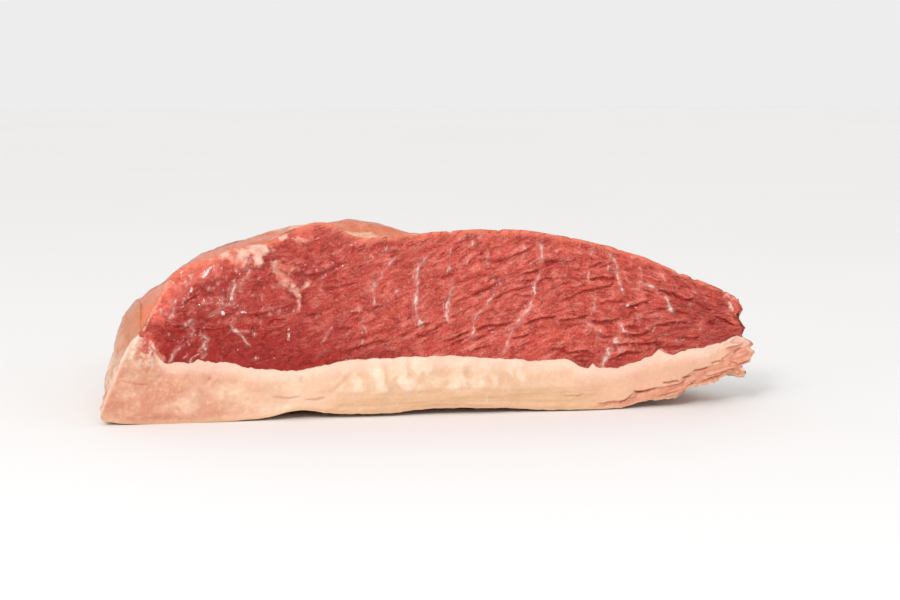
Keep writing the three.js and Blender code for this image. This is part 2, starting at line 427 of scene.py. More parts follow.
def cut_plane() -> float:
    """Where the plane of the cut face stands along the depth, in metres."""
    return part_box("fat_cap")[1].y - DEPTH


def origin() -> Array:
    """The cut face's left corner on the floor, in metres."""
    return np.array([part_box("fat_cap")[0].x, cut_plane(), 0.0])


def only(piece: bpy.types.Object) -> None:
    """Makes a piece the one that operators act on.

    Args:
        piece: The piece.
    """
    bpy.ops.object.select_all(action="DESELECT")
    piece.select_set(True)
    bpy.context.view_layer.objects.active = piece


@contextmanager
def editing() -> Iterator[None]:
    """Edit mode for the operators inside a with block."""
    bpy.ops.object.mode_set(mode="EDIT")
    yield
    bpy.ops.object.mode_set(mode="OBJECT")


def rows_of(items: "bpy.types.bpy_prop_collection", key: str) -> Array:
    """Three values of each corner or face of a mesh.

    Args:
        items: The corners or faces.
        key: Which of their values.

    Returns:
        A row for each.
    """
    values = np.empty(len(items) * 3)
    items.foreach_get(key, values)
    return values.reshape(-1, 3)


@dataclass
class Layer(ABC):
    """One layer of the meat: a fine copy of a CAD node, with its relief and its finish.

    Attributes:
        node: The CAD node that it stands for.
        slot: Name of the material slot that it stands for; not used.
        piece_name: The new piece's name.
        hidden: The way its hidden faces look.
        grit: The noise of its relief.
        levels: Levels of subdivision of the whole.
        crease: How sharp the cut face's outline stays, from 0 to 1.
        pulls: How often the coarse corners are pulled outwards, to make up for the rounding.
        pull: Share of what is missing that they move each time.
        fine: How far behind the cut face hidden faces stay fine, in metres.
        spare: Share of the hidden faces farther back that is kept.
        places: Across, back and up of each corner, in millimetres.
        normals: The way each corner looks.
        facing: 1 on the cut face and 0 elsewhere.
        from_top: How far each corner is below the cut face's upper edge, in millimetres.
        from_low: How far it is above its lower edge.
    """

    node: str
    slot: str
    piece_name: str
    hidden: Look
    grit: Grit
    levels: int = 2
    crease: float = 0.75
    pulls: int = 3
    pull: float = 0.8
    fine: float = 12 * MM
    spare: float = 0.12
    piece: bpy.types.Object = field(init=False)
    places: Array = field(init=False)
    normals: Array = field(init=False)
    facing: Array = field(init=False)
    from_top: Array = field(init=False)
    from_low: Array = field(init=False)

    @abstractmethod
    def sculpt(self) -> None:
        """Gives the piece its relief and the values that its finish reads."""

    @abstractmethod
    def finish(self) -> bpy.types.Material:
        """Makes the piece's material."""

    def build(self) -> None:
        """Makes the piece, dresses it and lets it ride in place of its CAD node."""
        self.copy_solid()
        self.refine()
        self.read()
        self.sculpt()
        self.piece.data.materials.append(self.finish())
        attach(self.piece, "root")
        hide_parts(self.node)
        log.info("%s: %d faces", self.piece.name, len(self.piece.data.polygons))

    def copy_solid(self) -> None:
        """Copies the CAD solid, joins its loose triangles and makes them four-sided."""
        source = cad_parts[self.node]
        self.piece = bpy.data.objects.new(self.piece_name, source.data.copy())
        bpy.context.scene.collection.objects.link(self.piece)
        self.piece.data.materials.clear()
        only(self.piece)
        bpy.ops.mesh.customdata_custom_splitnormals_clear()
        with editing():
            bpy.ops.mesh.select_all(action="SELECT")
            bpy.ops.mesh.remove_doubles(threshold=0.002 * MM)
            bpy.ops.mesh.tris_convert_to_quads(face_threshold=math.pi, shape_threshold=math.pi)

    def select_faces(self, look: Look, closeness: float, behind: float = -math.inf) -> None:
        """Selects faces by the way they look.

        Args:
            look: The way.
            closeness: Least cosine between it and the face's normal.
            behind: How far back the faces' middles are at least, in metres.
        """
        faces = self.piece.data.polygons
        chosen = rows_of(faces, "normal") @ look.value > closeness
        chosen &= rows_of(faces, "center")[:, 1] > behind
        only(self.piece)
        with editing():
            bpy.ops.mesh.select_mode(type="FACE")
            bpy.ops.mesh.select_all(action="DESELECT")
        self.piece.data.polygons.foreach_set("select", chosen)

    def refine(self) -> None:
        """Rounds and divides the solid, finest on the cut face, coarse where it is hidden."""
        self.select_faces(Look.CUT, 0.8)
        with editing():
            bpy.ops.mesh.region_to_loop()
            bpy.ops.transform.edge_crease(value=self.crease)
        modifier = self.piece.modifiers.new("rounding", "SUBSURF")
        modifier.levels = modifier.render_levels = self.levels
        self.keep_outline()
        bpy.ops.object.modifier_apply(modifier=modifier.name)
        self.select_faces(Look.CUT, 0.6)
        with editing():
            bpy.ops.mesh.subdivide(number_cuts=1)
        self.select_faces(self.hidden, 0.85, cut_plane() + self.fine)
        with editing():
            bpy.ops.mesh.decimate(ratio=self.spare)
        bpy.ops.object.shade_smooth()

    def keep_outline(self) -> None:
        """Moves the coarse corners outwards, so that the rounded surface still passes where they were."""
        mesh = self.piece.data
        wanted = rows_of(mesh.vertices, "co")
        cage = wanted.copy()
        for _ in range(self.pulls):
            rounded = self.piece.evaluated_get(bpy.context.evaluated_depsgraph_get()).data
            cage += self.pull * (wanted - rows_of(rounded.vertices, "co")[: len(wanted)])
            mesh.vertices.foreach_set("co", cage.ravel())
            mesh.update()

    def read(self) -> None:
        """Reads where the corners are, how they look, and how they lie to the cut face's edges."""
        corners = self.piece.data.vertices
        self.places = (rows_of(corners, "co") - origin()) / MM
        self.normals = rows_of(corners, "normal")
        _, back, up = self.places.T
        self.facing = smooth_step(-self.normals[:, 1], 0.35, 0.85) * smooth_step(back, 6, 2)
        top, low = self.edges((self.facing > 0.9) & (back < 2))
        self.from_top, self.from_low = top - up, up - low

    def edges(self, cut: Array) -> tuple[Array, Array]:
        """Heights of the cut face's upper and lower edge above and below every corner.

        Args:
            cut: Which corners are on the cut face.

        Returns:
            The height of the upper edge and of the lower edge at each corner's place across.
        """
        across, up = self.places[cut, 0], self.places[cut, 2]
        bins = np.arange(math.floor(across.min()), math.ceil(across.max()) + 1.0, 1.0)
        slot = np.clip(np.digitize(across, bins) - 1, 0, len(bins) - 2)
        top, low = np.full(len(bins) - 1, -1e9), np.full(len(bins) - 1, 1e9)
        np.maximum.at(top, slot, up)
        np.minimum.at(low, slot, up)
        middles, full = bins[:-1] + 0.5, top > -1e8
        x = self.places[:, 0]
        return np.interp(x, middles[full], top[full]), np.interp(x, middles[full], low[full])

    def write(self, places: Array) -> None:
        """Moves the corners, none of them out of the CAD box.

        Args:
            places: Where they go, like those that were read.
        """
        inside = np.clip(places * MM + origin(), *np.array(cad_box))
        self.piece.data.vertices.foreach_set("co", inside.ravel())
        self.piece.data.update()

    def carry(self, **values: Array) -> None:
        """Keeps values for each corner, for the finish to read.

        Args:
            values: One number or three for each corner, under the attribute's name.
        """
        for name, value in values.items():
            kind, key = ("FLOAT", "value") if value.ndim == 1 else ("FLOAT_VECTOR", "vector")
            attribute = self.piece.data.attributes.new(name, kind, "POINT")
            attribute.data.foreach_set(key, np.ascontiguousarray(value, dtype=np.float32).ravel())

    def carry_edges(self) -> None:
        """Keeps how far the corners are below the upper edge, above the lower edge, and across."""
        self.carry(edges=np.stack([self.from_top, self.from_low, self.places[:, 0]], axis=1))

    @staticmethod
    def patches(marks: Sequence[Mark], places: Array) -> Array:
        """How far places lie in broad strokes, from 0 to the stroke's strength."""
        offset, strength = drawn(marks, places, 2.0)
        return smooth_step(np.abs(offset), 1.7, 0.3) * strength


# ------------------------------------------------------------ lean

# Strokes on the cut lean. Each row is a width, a strength and places, all in millimetres but the strength.
# Marbling, most of it upright.
VEINS = strokes(
    (0.8, 0.6, (90.5, 49.5), (89, 48), (87, 45.5), (84.5, 42), (83.5, 39), (84, 35)),
    (0.5, 0.5, (88.3, 53), (86, 50.3)), (0.9, 0.9, (100.5, 49.5), (98, 47), (97.5, 44), (97.5, 41)),
    (0.9, 1.0, (97.5, 41), (97, 35.5), (97.5, 31.5), (98, 28.5), (99.5, 29.3)),
    (0.8, 0.5, (108.5, 53.5), (108, 50), (107, 44.5)),
    (1.1, 0.8, (108.5, 42), (108, 37.5), (107.5, 35), (107, 31), (107.5, 29.8)),
    (1.0, 0.6, (120, 51.5), (119.5, 46.5)), (0.6, 0.7, (114.2, 48.9), (113.4, 47.3)),
    (1.0, 0.7, (122.5, 39.5), (120.3, 35.5), (116.7, 31), (115.5, 27.2), (115, 23.3)),
    (1.2, 0.6, (135.5, 54), (137, 51), (137, 46.5)),
    (0.7, 0.8, (136.5, 44.5), (134.8, 40), (134.6, 36.5)),
    (0.9, 0.85, (134.5, 36), (133, 32.5), (130.5, 30), (127.7, 26.5), (126.3, 22.5), (124, 17.5)),
    (0.9, 0.8, (80.5, 32), (80.1, 29.5), (81.3, 27.3)), (0.7, 0.4, (71, 29), (67.5, 24)),
    (1.2, 0.5, (153.5, 51.5), (152.7, 49)), (1.0, 0.6, (152, 44.5), (152.2, 42)),
    (0.9, 0.75, (159, 49.5), (161.3, 46.5), (161.5, 43.5), (162.3, 40), (163.6, 37.4)),
    (1.0, 0.7, (163.5, 28.5), (163.2, 26.3), (164.3, 24.7)), (1.0, 0.5, (169, 45.5), (169.3, 42)),
    (1.0, 0.75, (166, 40.2), (168.5, 40.4), (171, 39.8), (174, 38.6), (174.6, 36)),
    (1.1, 0.6, (154.3, 37.5), (154.2, 33), (152.8, 29.5)),
    (1.3, 0.75, (151.2, 27.8), (153.5, 26.8), (156, 25.6), (155.3, 23.5)),
    (0.8, 0.75, (177.3, 36), (178.5, 33), (180.3, 30)),
    (1.2, 0.9, (162, 23), (160, 20.3), (158.3, 18), (156.8, 14.3)), (0.8, 0.6, (180.5, 40), (181.5, 38)),
    (0.9, 0.7, (176, 43), (177, 41)), (0.8, 0.5, (185, 33.5), (186, 31.5)),
    (0.8, 0.6, (181, 21.3), (184, 21.6)),
    (0.9, 0.8, (40.2, 32), (40, 30.5), (40.4, 28.9), (42.8, 26.8), (44.2, 25.1), (45.7, 23.6)),
    (0.5, 0.5, (42.5, 28.1), (45.7, 28)), (1.1, 0.8, (46.1, 47.1), (44.4, 44.9), (42.9, 42.5)),
    (1.3, 0.6, (41.6, 42.6), (40.8, 41), (40.4, 39.2), (39.8, 37)),
    (0.8, 0.6, (39.5, 36.5), (37.5, 35.2), (35.5, 34), (33, 32.3)), (1.8, 0.5, (37.3, 39), (37, 36.3)),
    (0.9, 0.55, (34.2, 38.3), (34, 36.2)), (1.1, 0.55, (21.9, 38), (22.7, 34.8), (22.2, 33)),
    (1.0, 0.65, (25.8, 30.1), (27.8, 30.6), (29.4, 30.9)),
    (1.5, 0.75, (26.8, 29.8), (28.5, 28.5), (28, 26.8)),
    (0.9, 0.75, (31.6, 27), (32.7, 25.7), (32, 24.1), (30.6, 22.5)),
    (1.1, 0.75, (24.8, 23.8), (23.2, 22.1), (21.8, 20.2), (21, 18.9)),
    (0.6, 0.5, (51.8, 33.6), (51.9, 31.8)), (0.5, 0.4, (49.3, 39), (49.5, 37)),
)
# Wet spots, painted nearly white as highlights; they also stand out a little and get more coat.
PAINTED_GLINTS = strokes(
    (1.5, 1.0, (37, 33.7), (38.1, 33.6)), (0.8, 0.9, (42.9, 33.8), (45, 33.7)),
    (0.9, 1.0, (57.5, 27), (57.6, 25.7), (57.5, 24.3)), (0.7, 0.7, (56.9, 28.3), (58, 28.2)),
    (0.9, 0.9, (31.3, 44.2), (33.1, 46.5), (34.4, 48.2)), (0.6, 0.7, (32.4, 43.8), (33.4, 45.1)),
    (0.6, 0.7, (36.8, 47), (37.9, 48.2)), (0.9, 0.8, (27.6, 40.2), (28.3, 41.9)),
    (0.7, 0.8, (61, 39), (61.4, 38.1)), (0.8, 0.6, (61.5, 55.4), (63.5, 55.2)),
    (1.8, 0.9, (164.6, 33.5), (165.2, 33.3)), (0.8, 0.9, (162.8, 38.8), (163.5, 37.5)),
    (0.8, 0.8, (115.4, 27.6), (115.9, 26.9)), (0.9, 0.7, (106.8, 31.6), (107.4, 30.4)),
    (0.7, 0.9, (136, 28), (136.2, 27.8)), (0.7, 0.8, (173.7, 25.9), (173.4, 24.6)),
    (1.4, 0.6, (198.6, 33), (199.8, 31.6), (200.4, 30.4)), (0.7, 0.6, (121.6, 38.9), (122.4, 39.6)),
    (0.6, 0.7, (31.5, 38.4), (31.9, 36.9)), (0.6, 0.6, (23.1, 37.1), (23.6, 38.3)),
    (0.5, 0.6, (41.8, 36.4), (42.1, 35.5)), (0.6, 0.6, (77.2, 36), (77.6, 35.7)),
    (0.6, 0.7, (147.3, 16.6), (147.7, 16.2)),
)
# Where flecks of marbling crowd, which also stand for clusters of wet glints painted pale: place across,
# up, spread and count.
FLECK_AND_GLINT_CROWDS = (
    (24, 42, 2.6, 16), (34, 44.5, 4.0, 26), (22, 35, 2.2, 8), (29, 24.5, 3.5, 14), (50, 35, 9, 18),
    (36, 38, 5, 14), (127, 48.5, 3.5, 8), (165, 27, 4, 8),
)
# Broad fat: the wedge and seam between two muscles, patches along the upper edge, the left corner.
FATTY = strokes(
    (3.2, 1.0, (36, 51.1), (41, 52), (47, 52.8), (52, 53)), (4.6, 1.0, (40.5, 50.8), (45, 49.8)),
    (3.0, 0.95, (48.3, 52), (48.6, 48.3)), (1.6, 0.8, (34.2, 49.6), (35, 50.8)),
    (3.6, 0.45, (53, 48.8), (55.5, 47.4), (59.5, 46.6)),
    (2.8, 0.6, (53.5, 47.5), (56.3, 43.4), (59.2, 40.4)),
    (1.5, 0.55, (59.2, 40.6), (60.6, 38.2), (60.9, 35.6), (60.4, 33.3)),
    (1.7, 0.5, (60, 40), (62.5, 41), (65.3, 43.3)), (2.0, 0.75, (60, 55.8), (64, 55)),
    (1.6, 0.7, (55, 55.5), (57.5, 57.2)), (1.6, 0.6, (198.5, 33.5), (200.3, 30.3)),
    (2.2, 0.6, (13, 26.8), (16.3, 23), (19.5, 19.3)),
    (1.5, 0.7, (13.2, 28.5), (15.4, 33), (18, 37.7), (20.5, 41.6)),
    (2.0, 0.9, (19.8, 41.4), (21.6, 43.4)), (1.1, 0.6, (196.8, 35.5), (201, 34.6)),
    (1.2, 0.6, (176, 17.9), (178, 17.6)),
)
# Flesh that is brighter, along the upper edge and at both ends; at the thin end it is painted light that
# lifts the end's shade.
FLUSH_AND_PAINTED_LIGHT = strokes(
    (4.5, 0.9, (12.6, 26.8), (16.5, 24)),
    (6.0, 0.9, (15.5, 31), (18.7, 37), (22, 41.5), (28, 45.5), (38, 49)),
    (3.0, 0.6, (60, 57), (66, 58.5)), (4.0, 0.8, (199.5, 35.5), (202.5, 32), (202.5, 26)),
)
# Flesh that is deeper red.
DEEPENED = strokes(
    (3.0, 0.6, (26, 39), (30, 43), (34.5, 46)), (4.0, 0.7, (79, 53.5), (82, 53.8), (86.5, 54)),
    (3.0, 0.9, (19.5, 24.5), (24, 24)), (1.8, 0.7, (38.6, 36), (39.2, 41)),
    (3.4, 0.7, (20, 20), (28, 20.3), (36, 20), (46, 18.6), (56, 17.8), (63, 18)),
    (1.8, 0.6, (101, 46.6), (104, 45.8)), (1.5, 0.7, (96.3, 48), (98.8, 48.7)),
    (2.6, 0.7, (173.5, 21.8), (176.5, 20.4)), (2.0, 0.8, (191.5, 27.2), (195, 26.6)),
    (2.2, 0.6, (59.5, 45.4), (64.5, 44.6)), (2.6, 0.6, (148, 15.6), (151.5, 14.6)),
    (2.8, 0.6, (160, 14.8), (163.5, 14.6)),
)
# The plainest clefts between bundles of fibre, drawn from left to right; they sink and get painted shade.
CLEFTS = strokes(
    (0.7, 0.6, (20.2, 30), (25, 30), (27, 29.2), (31.7, 28.3), (37.9, 28.5)),
    (0.9, 0.7, (45.8, 32.9), (48.2, 32.7), (53.1, 33.9), (57.6, 34.9)),
    (1.0, 0.7, (51.3, 29.6), (53.4, 30.8), (57.2, 31.2)),
    (1.2, 0.6, (49.9, 26), (52.3, 27.6), (56.2, 28.6)),
    (0.8, 0.5, (25.9, 36.8), (29, 38.8), (30.4, 39.5)), (0.8, 0.5, (45, 17.6), (50.4, 19), (53.2, 19.9)),
    (1.3, 0.8, (59.8, 45.2), (63.3, 44.7), (67.8, 44.4), (72, 46.5), (74.2, 48)),
    (0.9, 0.7, (68.1, 40.3), (72.9, 40.5), (76.5, 41.5), (78.3, 41.9)),
    (1.2, 0.7, (77.1, 32.3), (80.4, 32.5)), (0.8, 0.7, (83.7, 34.2), (87, 34.7)),
    (0.8, 0.5, (61.1, 30.9), (65.3, 32.5), (67.7, 32.4)),
    (0.8, 0.5, (71.1, 28.6), (75.6, 27.8), (77, 27.9)),
    (1.1, 0.8, (75.2, 20.6), (78.8, 21.7), (84, 23.3), (88.4, 23.9)),
    (0.8, 0.6, (88.1, 26.9), (91.1, 27.7)), (0.8, 0.6, (92.3, 25.2), (96.4, 26.9)),
    (0.9, 0.8, (97, 27.9), (101.5, 29)), (0.9, 0.7, (99.7, 25.2), (103.9, 27.7), (107.2, 29.3)),
    (1.0, 0.7, (97.2, 25.2), (102, 25.1), (104.1, 26.1)),
    (0.8, 0.6, (95.3, 50.6), (99.7, 54), (101, 54.9)),
    (1.4, 0.8, (104.5, 42.6), (106.8, 43.5), (109.6, 43.9)),
    (0.8, 0.6, (110.4, 53.7), (114.6, 54.8), (117, 55.3)),
    (0.8, 0.6, (115.8, 48.9), (119, 51.5), (120, 52.5)),
    (1.2, 0.8, (117.2, 48.4), (122, 47.9), (125, 47.8)),
    (1.0, 0.8, (125.2, 48), (127.7, 49.3), (131.8, 50.8), (133.5, 51.8)),
    (1.9, 1.0, (137.6, 48), (138.8, 47.3), (140.5, 47.2), (142.6, 47.9)),
    (0.9, 0.8, (131.2, 43.7), (136.4, 44.8)), (0.8, 0.6, (131.5, 41.9), (134.6, 41.4)),
    (0.9, 0.8, (135.7, 41.1), (138, 42), (140.8, 42.2)), (0.9, 0.8, (120, 41.7), (123.1, 42.8)),
    (1.2, 0.8, (114.8, 37.3), (119, 38.7), (121.4, 40.2), (124.5, 41.6)),
    (0.8, 0.6, (110.3, 35.4), (114.5, 36.6)),
    (0.8, 0.7, (121.4, 35.8), (125.2, 37.8), (129, 38.9), (134.3, 40.2)),
    (0.9, 0.7, (128.3, 37.3), (131.1, 36.8), (134.6, 36.7)),
    (1.0, 0.9, (115.9, 26.3), (120.7, 27.6), (126.3, 28.1), (128.3, 28.8)),
    (1.0, 0.9, (132.5, 28.2), (136.7, 29.7), (142, 29.8)),
    (0.9, 0.8, (127.3, 23.3), (131.4, 24.1), (133.5, 24.7)),
    (0.9, 0.7, (108.3, 30.5), (112.4, 32.3), (114.8, 33.6)),
    (0.9, 0.9, (106.8, 22.8), (110.3, 24.6), (114.8, 26.1)),
    (0.9, 0.8, (108.2, 21.8), (112.4, 23.7), (114.4, 24.6)), (0.9, 0.7, (115.1, 23.2), (119.3, 24.4)),
    (0.9, 0.7, (115.4, 20.1), (120.7, 21.3)), (0.8, 0.5, (120, 25.6), (124.6, 27.1)),
    (0.8, 0.6, (130, 21), (135.2, 22.5)), (1.2, 0.8, (140, 19.6), (145, 19.6)),
    (1.0, 0.7, (145, 42.8), (147.5, 42.3), (149.7, 41.2)),
    (1.1, 0.9, (152.5, 41.6), (156, 41.9), (161.5, 41.6)),
    (0.9, 0.7, (152.5, 45.3), (154.5, 46), (157, 47)), (0.9, 0.7, (156.3, 45.3), (160, 46.7)),
    (1.0, 0.8, (142.5, 34.8), (147, 36), (151, 37.8), (158.5, 39.2), (160.5, 40.3)),
    (1.1, 0.8, (156, 33.6), (158.5, 34.5), (164, 34.3)),
    (1.2, 0.9, (164.3, 32.8), (166, 32.2), (170, 33.7), (172.3, 34.3)),
    (0.9, 0.6, (165.5, 31), (170.5, 31.2)), (1.1, 0.9, (175, 31.9), (177, 31.7), (179, 31.9)),
    (1.1, 0.9, (175.5, 37.5), (180, 36.3), (183, 34.7), (185, 34.2), (187, 34.7)),
    (1.0, 0.8, (181, 30.8), (185, 29.9)),
    (1.2, 0.9, (153, 28.5), (155, 27.7), (160.5, 27.9), (162.3, 28.5)),
    (1.1, 0.9, (143, 28.6), (149, 29.3), (152, 29.8)), (1.0, 0.8, (165, 26.3), (169, 25.6)),
    (0.9, 0.6, (168.5, 29.3), (173, 27.7)), (0.9, 0.6, (144, 26), (150.3, 27.6)),
    (1.2, 0.9, (162.8, 23.9), (165.5, 23.5), (170.5, 23.8), (172.5, 24.7)),
    (1.1, 0.8, (155.3, 24.4), (157.5, 23), (161, 23.1)), (1.0, 0.8, (173.5, 26.2), (180, 27), (185, 27)),
    (1.3, 0.9, (191.8, 27), (194.5, 27.4)), (1.0, 0.9, (194.5, 28.8), (199, 26.8), (201.3, 26.1)),
    (1.1, 0.9, (160.5, 20.4), (168.5, 20.7), (175, 20.8)),
    (1.1, 0.9, (161.5, 16.6), (163.3, 17.6), (165.2, 18.1), (170, 17.7)),
    (1.1, 0.9, (178, 19.8), (184.8, 19.1)), (0.9, 0.6, (187, 33.5), (191, 31.2), (193, 31)),
    (1.1, 0.9, (143, 19.3), (146, 18.5), (150.7, 18.9), (154.7, 17.5)),
    (0.9, 0.8, (146.3, 16), (149, 17.4), (152, 17.6), (154.3, 16.6)),
    (0.9, 0.7, (183.7, 21.9), (188.5, 22.2)), (0.8, 0.7, (148.5, 15.6), (150.5, 16.2), (152.5, 15.4)),
    (0.8, 0.7, (159, 15.6), (161, 16.4), (164, 15.4)),
)
# How steeply the fibres rise to the right, by the place across.
GRAIN_SLOPES = ((0, 0.02), (50, 0.05), (72, 0.36), (105, 0.40), (140, 0.26), (170, 0.05), (208, 0.0))
# Where the seam steps up or down in the cut face: across, how far up and how wide.
SEAM_STEPS = ((27, -0.4, 1.6), (29.8, 0.7, 1.2), (153.6, 1.5, 1.0), (175.4, 1.7, 1.5), (180, -0.8, 1.9))


def seam_steps(across: Array) -> Array:
    """How far the seam between lean and fat steps up, in millimetres, at places across the cut face."""
    return sum(rise * bell(across - middle, width) for middle, rise, width in SEAM_STEPS)


@dataclass
class Lean(Layer):
    """The red muscle: its cut face of fibre bundles and marbling, and its skin of membrane.

    Attributes:
        folds: Length, height and depth of the folds between bundles of fibre, in millimetres, and how
        much painted shade their lines get.
        flecks: How many small flecks of marbling are drawn all over, besides those in crowds.
        fan_from: Where the fibres start to draw together towards the thin end, in millimetres across.
        notch: Height of the notch in the blunt thin end.
        tip: Where the folds of the skin would meet, across and back.
        arm: How far from there the angles between them are measured off.
        hump_foot: Where the pale fat in front of the hump starts and ends, across.
    """

    node: str = "lean"
    slot: str = "lean"
    piece_name: str = "picanha_lean"
    hidden: Look = Look.DOWN
    grit: Grit = field(default_factory=lambda: Grit(11))
    folds: tuple[tuple[float, float, float, float], ...] = (
        (9.0, 3.4, 0.25, 0.6), (4.0, 1.5, 0.16, 0.5), (1.8, 0.75, 0.12, 0.45),
    )
    flecks: int = 90
    fan_from: float = 150.0
    notch: float = 28.5
    tip: Place = (58.0, 225.0)
    arm: float = 150.0
    hump_foot: Place = (71.5, 88.0)

    def grain(self) -> tuple[Array, Array]:
        """Coordinates that follow the fibres of the cut face.

        Returns:
            The coordinate along the fibres and the one across them, in millimetres.
        """
        across, _, up = self.places.T
        steps = np.arange(0.0, 210.0)
        level = np.interp(across, steps, np.cumsum(np.interp(steps, *zip(*GRAIN_SLOPES))))
        thick = self.from_top + self.from_low
        start = np.argmin(np.abs(across - self.fan_from))
        fanned = up[start] - self.from_low[start] - level[start]
        fanned = fanned + self.from_low / np.maximum(thick, 4.0) * thick[start]
        fan = smooth_step(across, self.fan_from - 20, self.fan_from + 20)
        wander = self.grit.layered({14: 1.1, 4.6: 0.5, 1.9: 0.16}, across, up)
        crossing = (1 - fan) * (up - level) + fan * fanned + wander
        return across + 0.35 * level + 1.5 * self.grit.smooth(9, up, across), crossing

    def bundles(self, along: Array, crossing: Array) -> tuple[Array, Array]:
        """Relief of the bundles of fibre, which fold over each other, and the lines between them, which
        get painted shade.

        Args:
            along: Coordinate along the fibres, in millimetres.
            crossing: Coordinate across the fibres.

        Returns:
            How far the surface stands out, in millimetres, and a mask of the lines.
        """
        relief, lines = np.zeros(len(along)), np.zeros(len(along))
        for layer, (long, high, depth, painted_shade) in enumerate(self.folds):
            run, rise = along / long, crossing / high
            level = self.grit.smooth(1, run, rise, 3.1 * layer + 0.3)
            level += 0.4 * self.grit.smooth(1, run * 2.3, rise * 2.3, 3.1 * layer)
            shown = smooth_step(self.grit.smooth(1, run / 1.4, rise / 2.2, 9.0 + layer), -0.3, 0.4)
            lapped = smooth_step(level, -0.09, 0.09) - 0.5
            relief += depth * shown * (0.5 - np.exp(-np.abs(level) / 0.17) + 0.6 * lapped)
            lines = np.maximum(lines, painted_shade * shown * bell(level, 0.09))
        vivid = 0.65 + 0.35 * smooth_step(self.places[:, 0], 30, 95)
        return relief * vivid, lines * vivid

    @staticmethod
    def clefts(offset: Array, strength: Array) -> Array:
        """How far the surface stands out at the clefts: a drop under the lip of the bundle above."""
        return (0.3 * bell(offset - 1.7, 1.0) - 0.7 * bell(offset, 0.75)) * strength

    def fleck_marks(self) -> list[Mark]:
        """Small seeded flecks of marbling, most of them upright, all over and in crowds; the crowds also
        stand for wet glints, painted in the veins' pale colour.

        Returns:
            A stroke for each.
        """
        draw, marks = self.grit.draw, []
        middles = [(14 + 188 * draw.random() ** 1.2, 18 + 38 * draw.random()) for _ in range(self.flecks)]
        for across, up, spread, count in FLECK_AND_GLINT_CROWDS:
            for _ in range(count):
                middles.append((across + spread * draw.normal(), up + spread * draw.normal()))
        for across, up in middles:
            turn = math.radians(72 + 80 * (draw.random() - 0.5))
            half = 0.25 + 0.9 * draw.random() ** 2
            run = np.array([math.cos(turn), math.sin(turn)]) * half
            ends = (across - run[0], up - run[1]), (across + run[0], up + run[1])
            marks.append(Mark(ends, 0.4 + 0.35 * draw.random(), 0.3 + 0.5 * draw.random()))
        return marks

    def sculpt(self) -> None:
        """Gives the lean its relief and the values that its finish reads."""
        across, back, up = self.places.T
        along, crossing = self.grain()
        bundles, lines = self.bundles(along, crossing)
        flat, ragged = self.places[:, [0, 2]], self.ragged()
        cleft, cleft_strength = drawn(CLEFTS, flat + 0.8 * ragged, 4.0)
        vein, vein_strength = drawn((*VEINS, *self.fleck_marks()), flat + 1.3 * ragged, 3.0)
        vein = vein / np.clip(1 + 0.8 * self.grit.smooth(2.4, across, up, 11.0), 0.35, 1.7)
        broken = smooth_step(self.grit.smooth(2.8, across, up, 15.0), -0.45, 0.05)
        vein_strength = vein_strength * (0.35 + 0.65 * broken)
        fatty = self.patches(FATTY, flat + 1.5 * ragged)
        painted_glints = self.patches(PAINTED_GLINTS, flat + 0.5 * ragged)
        islands = self.islands()
        lively = 1 + 0.8 * smooth_step(across, 75, 35)
        waves = 0.35 * self.grit.smooth(9, across, up, 3.0)
        waves += lively * self.grit.layered({2.2: 0.14, 1.0: 0.08}, across, up)
        ridge = 0.15 * bell(vein, 1.0) * vein_strength + 0.3 * fatty + 0.2 * painted_glints
        relief = (bundles + self.clefts(cleft, cleft_strength)) * (1 - 0.8 * fatty)
        inside = smooth_step(np.minimum(self.from_top, self.from_low), 0.1, 2.2)
        moved = self.places + self.membrane(islands)[:, None] * self.normals + self.frayed_edges()
        moved[:, 1] -= (inside * (relief + waves + ridge) - 0.3) * self.facing
        self.write(moved)
        torn_end = smooth_step(across, 192, 197) * smooth_step(back, 30, 15)
        torn_end *= smooth_step(self.normals[:, 2], 0.7, 0.4)
        self.carry_edges()
        self.carry(
            cut=np.maximum(self.facing, torn_end),
            # Where the clefts and the folds' lines get painted shade.
            cleft=np.clip(np.maximum(bell(cleft, 1.0) * cleft_strength, lines), 0, 1) * inside,
            # Painted highlight on the relief's crests and painted shade in its troughs.
            crest=np.clip(0.5 + 0.9 * relief, 0, 1),
            vein=vein,
            vein_strength=vein_strength,
            fatty=fatty,
            glint=painted_glints,
            flush=self.patches(FLUSH_AND_PAINTED_LIGHT, flat + ragged),
            deepened=self.patches(DEEPENED, flat + 2 * ragged),
            grain=self.fibre(along, crossing),
            island=islands,
        )

    def ragged(self) -> Array:
        """A small seeded shift across and up, in millimetres, for edges that aren't clean."""
        across, _, up = self.places.T
        shifts = self.grit.smooth(1.7, across, up, 5.0), self.grit.smooth(1.7, up, across, 9.0)
        return 0.45 * np.stack(shifts, axis=1)

    def frayed_edges(self) -> Array:
        """Shifts of the cut face's outline: nicks above, a ragged hem on the fat and a torn thin end.

        Returns:
            The shift of each corner, in millimetres.
        """
        across, back, up = self.places.T
        hem = bell(self.from_low, 1.6) * smooth_step(back, 4, 1)
        shift = hem * (self.grit.layered({3.1: 0.35, 1.1: 0.25}, across) + seam_steps(across))
        nick = smooth_step(self.grit.smooth(2.6, across, back / 3), 0.25, 0.75) * smooth_step(back, 7, 2)
        shift -= 0.55 * nick * smooth_step(self.from_top, 2.0, 0.3) * smooth_step(across, 60, 90)
        dent = smooth_step(self.grit.smooth(3.0, up, back / 4), 0.0, 0.6) * smooth_step(back, 8, 2)
        shift -= 0.5 * dent * smooth_step(self.from_top, 2.5, 0.3) * smooth_step(across, 45, 20)
        torn = smooth_step(across, 196, 203) * smooth_step(back, 30, 10)
        depth = 1.1 * (0.6 + self.grit.layered({2.2: 1.0, 0.9: 0.5}, up, back))
        depth += 1.8 * bell(up - self.notch, 1.6)
        return np.stack([-torn * depth, np.zeros_like(up), shift], axis=1)

